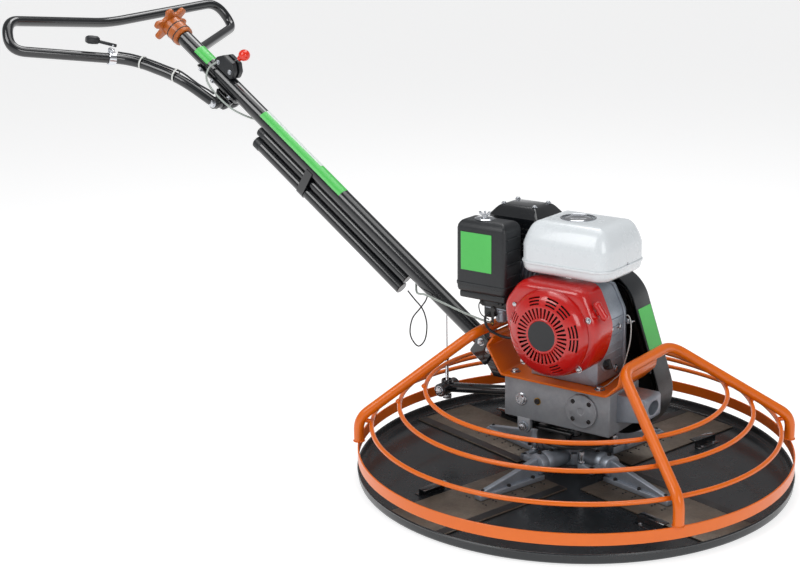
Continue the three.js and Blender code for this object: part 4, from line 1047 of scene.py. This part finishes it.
def air_and_exhaust():
    air = Piece("air_cleaner_case", PLASTIC)
    x0, x1, y0, y1 = -308, -146, -126, -34
    air.add(loft([oval(x0, x1, y0, y1, 15, i, z) for z, i in
                  ((486, 10), (489, 5), (495, 2.5), (505, 2), (506, 0.2), (513, 0), (514, 2), (516, 2),
                   (660, 3),
                   (668, 5), (675, 10), (680, 15), (682.5, 20), (684, 26))]))
    air.use(GREEN).add(block(-288, -190, -124.6, -123.4, 548, 652, 0.3, 1))
    stud_x, stud_y = -240, -80
    air.use(CHROME).add(turned([(0, 0), (27, 0), (28, 1.5), (22, 4), (8, 5), (0, 5)], 40),
                        Matrix.Translation((stud_x, stud_y, 683)))
    air.use(STEEL).add(rod((stud_x, stud_y, 684), (stud_x, stud_y, 704), 3))
    for sign in (-1, 1):
        air.add(slab([(sign * 3, 0), (sign * 15, 7), (sign * 17, 14), (sign * 11, 15), (sign * 3, 7)],
                     -1.6, 1.6, "Y", 0.8),
                Matrix.Translation((stud_x, stud_y, 689)) @ Matrix.Rotation(0.5, 4, "Z"))
    air.add(turned([(0, 0), (7, 0), (6, 8), (0, 8)], 20), Matrix.Translation((stud_x, stud_y, 688)))
    air.use(PLASTIC).add(block(-298, -152, -118, -42, 468, 488, 5, 3))
    for z in (536, 570, 604, 638):
        air.add(block(-148, -145.4, -112, -50, z, z + 6, 1, 2))
    air.done("frame", "air_cleaner")

    silencer = Piece("silencer_guard", BLACK)
    x0, x1, y0, y1 = -286, -124, 0, 138
    silencer.add(loft([oval(x0, x1, y0, y1, 14, i, z, 5) for z, i in
                       ((566, 8), (570, 3), (576, 1), (660, 1), (661, 0), (676, 0), (678, 2), (694, 17),
                        (699, 22),
                        (702, 27), (704, 36))], 0))
    silencer.use(STEEL)
    for x, y in ((-254, 34), (-156, 34), (-254, 104), (-156, 104)):
        silencer.add(hex_bolt(6, 5, 8), toward((x, y, 703.2), (0, 0, 1)))
    silencer.done("frame", "muffler")
    # Near-black slabs on the silencer's sides stand for the vent slots, as painted shade in the holes.
    vent_rows = range(592, 649, 14)
    vents = [((x, y, z), (0, way, 0), 0) for x in range(-270, -136, 14) for z in vent_rows
             for y, way in ((0.4, -1), (137.6, 1))]
    vents += [((x, y, z), (way, 0, 0), TURN / 4) for y in range(16, 130, 14) for z in vent_rows
              for x, way in ((-124.8, 1), (-285.2, -1))]
    repeat("silencer_vents", "frame", block(-4.6, 4.6, -2.2, 2.2, -0.6, 0.8, 0.4, 1), vents, RECESS_SHADE)

    carb = Piece("carburettor_body", CAST)
    carb.add(block(-232, -164, -92, -30, 440, 478, 4, 3))
    carb.add(turned([(0, 400), (12, 400), (15.4, 404), (16, 428), (20, 431), (20, 436), (24, 440), (0, 440)],
                    40),
             Matrix.Translation((-198, -61, 0)))
    carb.use(BRASS).add(hex_bolt(7, 6, 0), toward((-198, -61, 402), (0, 0, -1)))
    carb.use(PLASTIC).add(block(-252, -146, -91.5, -40, 446, 474, 6, 3))
    carb.add(block(-238, -206, -91.5, -44, 414, 450, 8, 3)).add(block(-168, -138, -88, -52, 424, 452, 7, 3))
    carb.add(rod((-164, -61, 460), (-112, -61, 462), 19, rounding=2))
    carb.add(pipe(flowing([(-214, -92, 430), (-222, -106, 418), (-206, -112, 390), (-160, -100, 372),
                           (-122, -88, 378)]), 3.6, 14))
    carb.use(DARK).add(block(-242, -150, -93.6, -91.8, 446, 470, 0.6, 2))
    carb.add(rod((-240, -88, 452), (-120, -96, 448), 2.2, sides=12))
    carb.add(pipe(flowing([(-236, -92, 466), (-246, -100, 450), (-238, -102, 425), (-214, -98, 412)]),
                  1.6, 10))
    carb.use(STEEL)
    for x in (-226, -170):
        carb.add(hex_bolt(5, 5, 7), toward((x, -92, 472), (0, -1, 0)))
    carb.done("frame", "carburettor")
    arm = Piece("throttle_link", DARK)
    arm.add(turned([(0, 0), (9, 0), (9, 4.2), (7, 5.8), (0, 5.8)], 28),
            toward((-204, -92.3, 440), (0, -1, 0)))
    arm.add(slab([(-198.5, 440), (-200.5, 398), (-204, 395.6), (-207.5, 398), (-209.5, 440)], -98, -95.4))
    arm.use(BRASS).add(rod((-204, -100, 403), (-204, -94, 403), 3.4, sides=16))
    arm.done("carb_arm", "throttle_arm")
    choke = Piece("choke_handle", PLASTIC)
    choke.add(rod((-176, -104, 462), (-176, -92.3, 462), 6))
    choke.add(slab([(-176, 458), (-212, 457), (-222, 459), (-222, 465), (-212, 467), (-176, 466)],
                   -104, -99, "Y", 1.5, 2))
    choke.done("choke", "choke_lever")


def belt_cover():
    drum, pulley = (CRANK_X, CRANK_Z), (PULLEY_X, PULLEY_Z)

    def outline(grow, y):
        dx, dz = pulley[0] - drum[0], pulley[1] - drum[1]
        along, lean = math.atan2(dz, dx), math.acos((107 - 124) / math.hypot(dx, dz))
        ring = []
        for (cx, cz), r, a, b in ((pulley, 124 + grow, along - lean, along + lean),
                                  (drum, 107 + grow, along + lean, along + TURN - lean)):
            ring += [(cx + r * math.cos(a + (b - a) * k / 40), y, cz + r * math.sin(a + (b - a) * k / 40))
                     for k in range(41)]
        return ring

    cover = Piece("belt_cover", PLASTIC)
    cover.add(loft([outline(g, y) for y, g in ((203, -14), (202, -6), (197, -3), (118, -3), (118, 0),
                                               (196, 0),
                                               (202, -2), (205, -6), (206, -14))]))
    cover.add(block(142, 172, 100.3, 124, 308, 314, 1, 2)).add(block(142, 172, 100.3, 106, 274, 314, 1, 2))
    normal = Vector((0.944, 0, 0.33))
    start, end = Vector((109, 0, 463.3)), Vector((185, 0, 245.9))
    label = [start.lerp(end, t) + normal * 0.5 for t in (0.107, 0.68)]
    face = []
    for off in (0.0, 0.7):
        face.append([label[0] + normal * off + Vector((0, 124, 0)),
                     label[1] + normal * off + Vector((0, 124, 0)),
                     label[1] + normal * off + Vector((0, 194, 0)),
                     label[0] + normal * off + Vector((0, 194, 0))])
    cover.use(GREEN).add(loft(face))
    cover.use(STEEL).add(hex_bolt(9, 8, 12), toward((157, 112, 314), (0, 0, 1)))
    for x, z in (drum, pulley):
        cover.add(hex_bolt(8, 7, 14), toward((x, 205.6, z), (0, 1, 0)))
    cover.done("frame", "belt_guard")


# ------------------------------------------------------------------ handle
DROP = math.radians(34.9)
HANDLE = Matrix.Translation((-1429, 0, 1103)) @ Matrix.Rotation(DROP, 4, "Y")
TUBE_R, BIG_POLE_R, BIG_POLE_BELOW = 25, 19, 77


def tube_label(s0, s1, middle, width, lift=0.35):
    """A thin label bent round the main tube. Angles in degrees, from the top towards the near side."""
    outer, inner = [], []
    for k in range(13):
        a = math.radians(middle - width / 2 + width * k / 12)
        outer.append((-math.sin(a) * (TUBE_R + lift), math.cos(a) * (TUBE_R + lift)))
        inner.append((-math.sin(a) * (TUBE_R - 0.2), math.cos(a) * (TUBE_R - 0.2)))
    return slab(outer + inner[::-1], s0, s1, "X", 0)


def handle_tube():
    tube = Piece("handle_tube", BLACK)
    wall = turned([(21.5, 22), (24, 22), (25, 23), (25, 1439), (24, 1440), (21.5, 1440), (21.5, 22)], 56)
    tube.add(wall, HANDLE @ toward((0, 0, 0), (1, 0, 0)))
    tube.use(GREEN).add(tube_label(408, 770, 14, 104), HANDLE)
    tube.use(WHITE).add(tube_label(408, 660, -12, 38, 0.6), HANDLE)
    tube.use(GREEN).add(tube_label(96, 158, 20, 110), HANDLE)
    tube.done("frame", "main_tube")

    for name, r, below, a in (("a", 15, 41.5, 418), ("b", BIG_POLE_R, BIG_POLE_BELOW, 425)):
        pole = Piece(f"lifting_bar_{name}", BLACK)
        pole.add(turned([(0, a), (r - 2, a), (r, a + 2), (r, 1083), (r - 2, 1085), (0, 1085)], 40),
                 HANDLE @ toward((0, 0, -below), (1, 0, 0)))
        pole.use(PLASTIC).add(turned([(r, a + 3), (r + 1, a + 4), (r + 1, a + 26), (r, a + 27), (r, a + 3)],
                                     40),
                              HANDLE @ toward((0, 0, -below), (1, 0, 0)))
        pole.done("frame", f"lifting_pole_{name}")

    strap = Piece("bar_strap", BLACK)
    lean = math.acos((TUBE_R - BIG_POLE_R) / BIG_POLE_BELOW)
    inside, outside = [], []
    for loop, grow in ((inside, 0.5), (outside, 3)):
        for n, r, a, b in ((-BIG_POLE_BELOW, BIG_POLE_R + grow, -TURN / 4 - lean, -TURN / 4 + lean),
                           (0, TUBE_R + grow, -TURN / 4 + lean, 3 * TURN / 4 - lean)):
            loop += [(r * math.cos(a + (b - a) * k / 28),
                      n + r * math.sin(a + (b - a) * k / 28)) for k in range(29)]
    closed = loft([[(s, *p) for p in loop] for s, loop in
                   ((636, inside), (636, outside), (662, outside), (662, inside))], 0, closed=True)
    strap.add(carve(closed, block(630, 668, -60, 60, -2, 60, 0)), HANDLE)
    strap.done("frame", "pole_strap")

    wheel = Piece("pitch_handwheel", STAR)
    lobes = []
    for k in range(180):
        a = TURN * k / 180
        reach = 51 + 11.5 * math.tanh(1.9 * math.cos(6 * a))
        lobes.append((reach * math.cos(a), reach * math.sin(a)))
    wheel.add(slab(lobes, -54.5, -40.5, "X", 4.5, 4), HANDLE)
    wheel.add(turned([(0, -57), (14, -57), (20, -54), (30, -53), (34, -40), (33, -30), (33, 18), (31, 21.6),
                      (8, 21.6),
                      (8, 205), (0, 205)], 48), HANDLE @ toward((0, 0, 0), (1, 0, 0)))
    wheel.use(STEEL).add(hex_bolt(9, 7, 12), HANDLE @ toward((-55, 0, 0), (-1, 0, 0)))
    wheel.use(DARK)
    for s in (-20, 6):
        wheel.add(turned([(33, s), (34, s + 1), (34, s + 3), (33, s + 4), (33, s)], 40),
                  HANDLE @ toward((0, 0, 0), (1, 0, 0)))
    wheel.done("pitch_wheel", "star_wheel")


def clamp_and_throttle():
    clamp = Piece("saddle_clamp", BLACK)
    saddle = [(math.sin(math.radians(a)) * r, -math.cos(math.radians(a)) * r)
              for r, turns in ((34, range(-62, 63, 8)), (25.4, range(62, -63, -8))) for a in turns]
    clamp.add(slab(saddle, 130, 302, "X", 1.5, 2), HANDLE)
    for sign in (-1, 1):
        lug = [(228, -30), (300, -30), (291, -58), (283, -70), (264, -76), (246, -70), (238, -58)]
        clamp.add(carve(slab(lug, min(sign * 14, sign * 26), max(sign * 14, sign * 26), "Y", 2.5, 3),
                        rod((264, -40, -53.5), (264, 40, -53.5), 17.6, sides=40, rounding=0)), HANDLE)
    clamp.use(STEEL)
    for s in (148, 204, 284):
        for sign in (-1, 1):
            clamp.add(hex_bolt(6.5, 6, 9), HANDLE @ toward((s, sign * 27, -20), (0, sign * 0.85, -0.53)))
    clamp.done("frame", "handlebar_bracket")

    case = Piece("lever_case", PLASTIC)
    profile = [(176, 25.3), (256, 25.3), (258, 34), (256, 52), (238, 72), (196, 72), (176, 50), (173, 36)]
    case.add(carve(slab(profile, -22, 22, "Y", 3.5, 3), block(168, 264, -5, 5, 31, 90, 0)), HANDLE)
    case.add(slab([(s, -19 if y < 0 else 19) for s, y in ((184, -1), (248, -1), (248, 1), (184, 1))],
                  24, 30, "Z", 1), HANDLE)
    case.use(STEEL)
    for s, n in ((190, 40), (243, 44)):
        case.add(hex_bolt(5.5, 5, 7.5), HANDLE @ toward((s, -22, n), (0, -1, 0)))
        case.add(hex_bolt(5.5, 5, 7.5), HANDLE @ toward((s, 22, n), (0, 1, 0)))
    case.done("frame", "lever_housing")
    lever = Piece("throttle_handle", CHROME)
    lever.add(rod((216, -4, 46), (216, 4, 46), 13), HANDLE)
    lever.add(rod((216, 0, 46), (248, 0, 110), 3.6, sides=20), HANDLE)
    knob_at = HANDLE @ toward((248, 0, 110), (0.447, 0, 0.894))
    knob_r = 17.5
    ball = [(knob_r * math.cos(math.radians(a)),
             knob_r * math.sin(math.radians(a))) for a in range(-80, 81, 8)]
    lever.use(KNOB).add(turned([(0, -knob_r), *ball, (0, knob_r)], 40), knob_at)
    lever.add(turned([(4, -26), (8, -24), (9, -14), (4, -12), (4, -26)], 28), knob_at)
    lever.done("throttle", "throttle_lever")


def handlebar():
    bar = Piece("delta_bar", BLACK)
    near = [(-1243, -54, 909), (-1346, -92, 980), (-1500, -132, 1028), (-1650, -464, 1077),
            (-1696, -432, 1158)]
    far = [(x, -y, z) for x, y, z in reversed(near)]
    bar.add(pipe(round_corners([*near, (-1752, 0, 1118), *far], 60, 12), 15.5, 32))
    bar.add(rod((-1243, -62, 908), (-1243, 62, 908), 17, sides=48, rounding=1.5))
    for sign in (-1, 1):
        bead(bar, (-1243, sign * 50, 908), (0, 1, 0), 17, 1.6)
        bar.use(CHROME).add(hex_bolt(11, 8, 14), toward((-1243, sign * 61.5, 908), (0, sign, 0)))
        bar.use(BLACK)
    run = (Vector(near[2]) - Vector(near[1])).normalized()
    lift = (Vector((0, 0, 1)) - run * run.z).normalized() * 3.6
    for along_run in (14, 132):
        tie = turned([(19.2, -2.4), (20.6, -2.4), (20.6, 2.4), (19.2, 2.4), (19.2, -2.4)], 48)
        bar.use(TIE).add(tie, toward(Vector(near[1]) + run * along_run + lift, run))
    bar.done("bar", "handlebar")

    at, along = Vector((-1527, -191.8, 1036.8)), Vector((-0.408, -0.9031, 0.1333))
    up = Vector((0.0549, 0.1215, 0.9911))
    band = Piece("band_clamp", CHROME)
    band.add(turned([(16.5, -11), (19.5, -11), (20.5, -10), (20.5, 10), (19.5, 11), (16.5, 11), (16.5, -11)],
                    48), toward(at, along))
    band.add(rod(at + up * 19, at + up * 30, 8))
    cross = along.cross(up).normalized()
    band.add(rod(at + up * 24 - cross * 16, at + up * 24 + cross * 16, 3.4, sides=16))
    band.add(hex_bolt(6.5, 6, 8), toward(at + up * 24 + cross * 14, cross))
    band.done("bar", "stop_clamp")
    pivot = at + up * 39
    tip = pivot + along * 62 + up * 12
    paddle = Piece("stop_paddle", PLASTIC)
    paddle.add(rod(pivot - along * 12, tip, 5, sides=20))
    paddle.add(turned([(0, -22), (8, -21), (12, -16), (13, 0), (12.4, 12), (9, 19), (0, 20)], 32),
               toward(tip, along))
    paddle.use(STEEL).add(rod(pivot - cross * 9, pivot + cross * 9, 3, sides=16))
    paddle.done("stop", "stop_lever")


def foot():
    socket = Piece("handle_socket", BLACK)
    sleeve = carve(block(1372, 1436, -36, 36, -36, 36, 5, 3),
                   rod((1300, 0, 0), (1500, 0, 0), 25.2, sides=56, rounding=0))
    socket.add(sleeve, HANDLE)
    socket.add(slab([(-176.3, 226), (-176.3, 256), (-236, 300), (-276, 268), (-246, 226)],
                    -30, 30, "Y", 3, 3))
    socket.use(STEEL)
    for s in (1388, 1420):
        socket.add(hex_bolt(8, 8, 11), HANDLE @ toward((s, -36, 14), (0, -1, 0)))
        socket.add(hex_bolt(8, 8, 11), HANDLE @ toward((s, 36, 14), (0, 1, 0)))
    socket.done("frame", "handle_foot")


# ------------------------------------------------------------------ cables
def cable(name, points, r, material, node_name, body):
    """A control cable along its route. Without a body it is a cord of its own; with one it rides on that
    body.
    """
    path = flowing(points, 4)
    run = Piece(name, material)
    run.add(pipe(path, r, 14))
    made = run.done(body, node_name, smooth=60, ride=body is not None)
    return made


def cables():
    throttle = [(-1252, -25.8, 1028), (-1274, -38, 1010), (-1276, -48, 975), (-1240, -50, 936),
                (-1190, -44, 899),
                (-1165, -24, 878.6), (-1143, 2, 863), (-1116, 24, 855.6), (-1084, 32, 855),
                (-823.5, 32, 673.3),
                (-563, 32, 491.7), (-548, 25, 460.5), (-533, 2, 438), (-512, -24, 424.6),
                (-489.5, -38, 425.7),
                (-470, -40, 427), (-400, -46, 414), (-330, -54, 402), (-275, -64, 397), (-245, -78, 399),
                (-226, -93, 403), (-210, -96.5, 405)]
    slack = [(-536, -34, 427), (-514, -34, 407), (-487, -34, 384), (-474, -34, 358), (-470, -34, 328),
             (-478, -34, 290),
             (-499, -36, 269), (-518, -40, 286), (-524, -42, 312), (-513, -44, 352), (-487, -44, 384),
             (-470, -40, 408),
             (-465, -36, 424)]
    stop = [(-1518, -173, 1054), (-1489, -140, 1045), (-1439, -116, 1029.5), (-1368, -98, 1007.5),
            (-1338, -89, 998),
            (-1300.5, -75.5, 972), (-1285, -69.5, 961), (-1262, -60, 948), (-1243, -54.5, 936)]
    cable("throttle_wire", throttle, 3, SHEATH, "throttle_cable", "frame")
    cable("slack_wire", slack, 2, PLASTIC, "slack_loop", "frame")
    made = cable("stop_wire", stop, 3, PLASTIC, "stop_cable", None)
    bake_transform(made)


# ------------------------------------------------------------------ room and light
def studio():
    half, level = 60, -0.0008
    floor = bpy.data.meshes.new("floor")
    floor.from_pydata([(-half, -half, level), (half, -half, level), (half, half, level),
                       (-half, half, level)],
                      [], [(0, 1, 2, 3)])
    pale = bpy.data.materials.new("pale_floor")
    pale.use_nodes = True
    surface = pale.node_tree.nodes["Principled BSDF"]
    surface.inputs["Base Color"].default_value = (0.5, 0.5, 0.5, 1)
    surface.inputs["Roughness"].default_value = 0.6
    surface.inputs["Emission Color"].default_value = (1, 1, 1, 1)
    surface.inputs["Emission Strength"].default_value = 0.72
    floor.materials.append(pale)
    ground = bpy.data.objects.new("floor", floor)
    bpy.context.scene.collection.objects.link(ground)
    world = bpy.data.worlds.new("studio")
    world.use_nodes = True
    sky = world.node_tree
    direction = node(sky, "ShaderNodeTexCoord")
    split = node(sky, "ShaderNodeSeparateXYZ")
    ramp = node(sky, "ShaderNodeMapRange")
    for label, value in (("From Min", 0.02), ("From Max", 0.2), ("To Min", 0.95), ("To Max", 0.26)):
        ramp.inputs[label].default_value = value
    sky.links.new(direction.outputs["Generated"], split.inputs[0])
    sky.links.new(split.outputs["Z"], ramp.inputs["Value"])
    sky.nodes["Background"].inputs["Color"].default_value = (0.97, 0.98, 1.0, 1)
    sky.links.new(ramp.outputs["Result"], sky.nodes["Background"].inputs["Strength"])
    bpy.context.scene.world = world
    for name, at, aim, size, power in (
            ("key", (-1.6, -3.4, 3.6), (0, 0, 0.3), 2.2, 72),
            ("front", (3.4, -1.8, 2.4), (0, 0, 0.3), 1.8, 44),
            ("top", (-0.4, 0.6, 4.2), (-0.3, 0, 0.3), 2.8, 52),
            ("back", (-1.4, 2.0, 4.4), (-0.4, 0, 0.4), 1.8, 44)):
        lamp = bpy.data.lights.new(name, "AREA")
        lamp.size, lamp.energy = size, power
        made = bpy.data.objects.new(name, lamp)
        facing = (Vector(at) - Vector(aim)).to_track_quat("Z", "Y").to_matrix().to_4x4()
        made.matrix_world = Matrix.Translation(at) @ facing
        bpy.context.scene.collection.objects.link(made)


float_pan()
blades_and_arms()
hub()
guard()
gearbox()
pitch_lever()
engine_plate()
crankcase()
blower()
tank()
air_and_exhaust()
belt_cover()
handle_tube()
clamp_and_throttle()
handlebar()
foot()
cables()
studio()
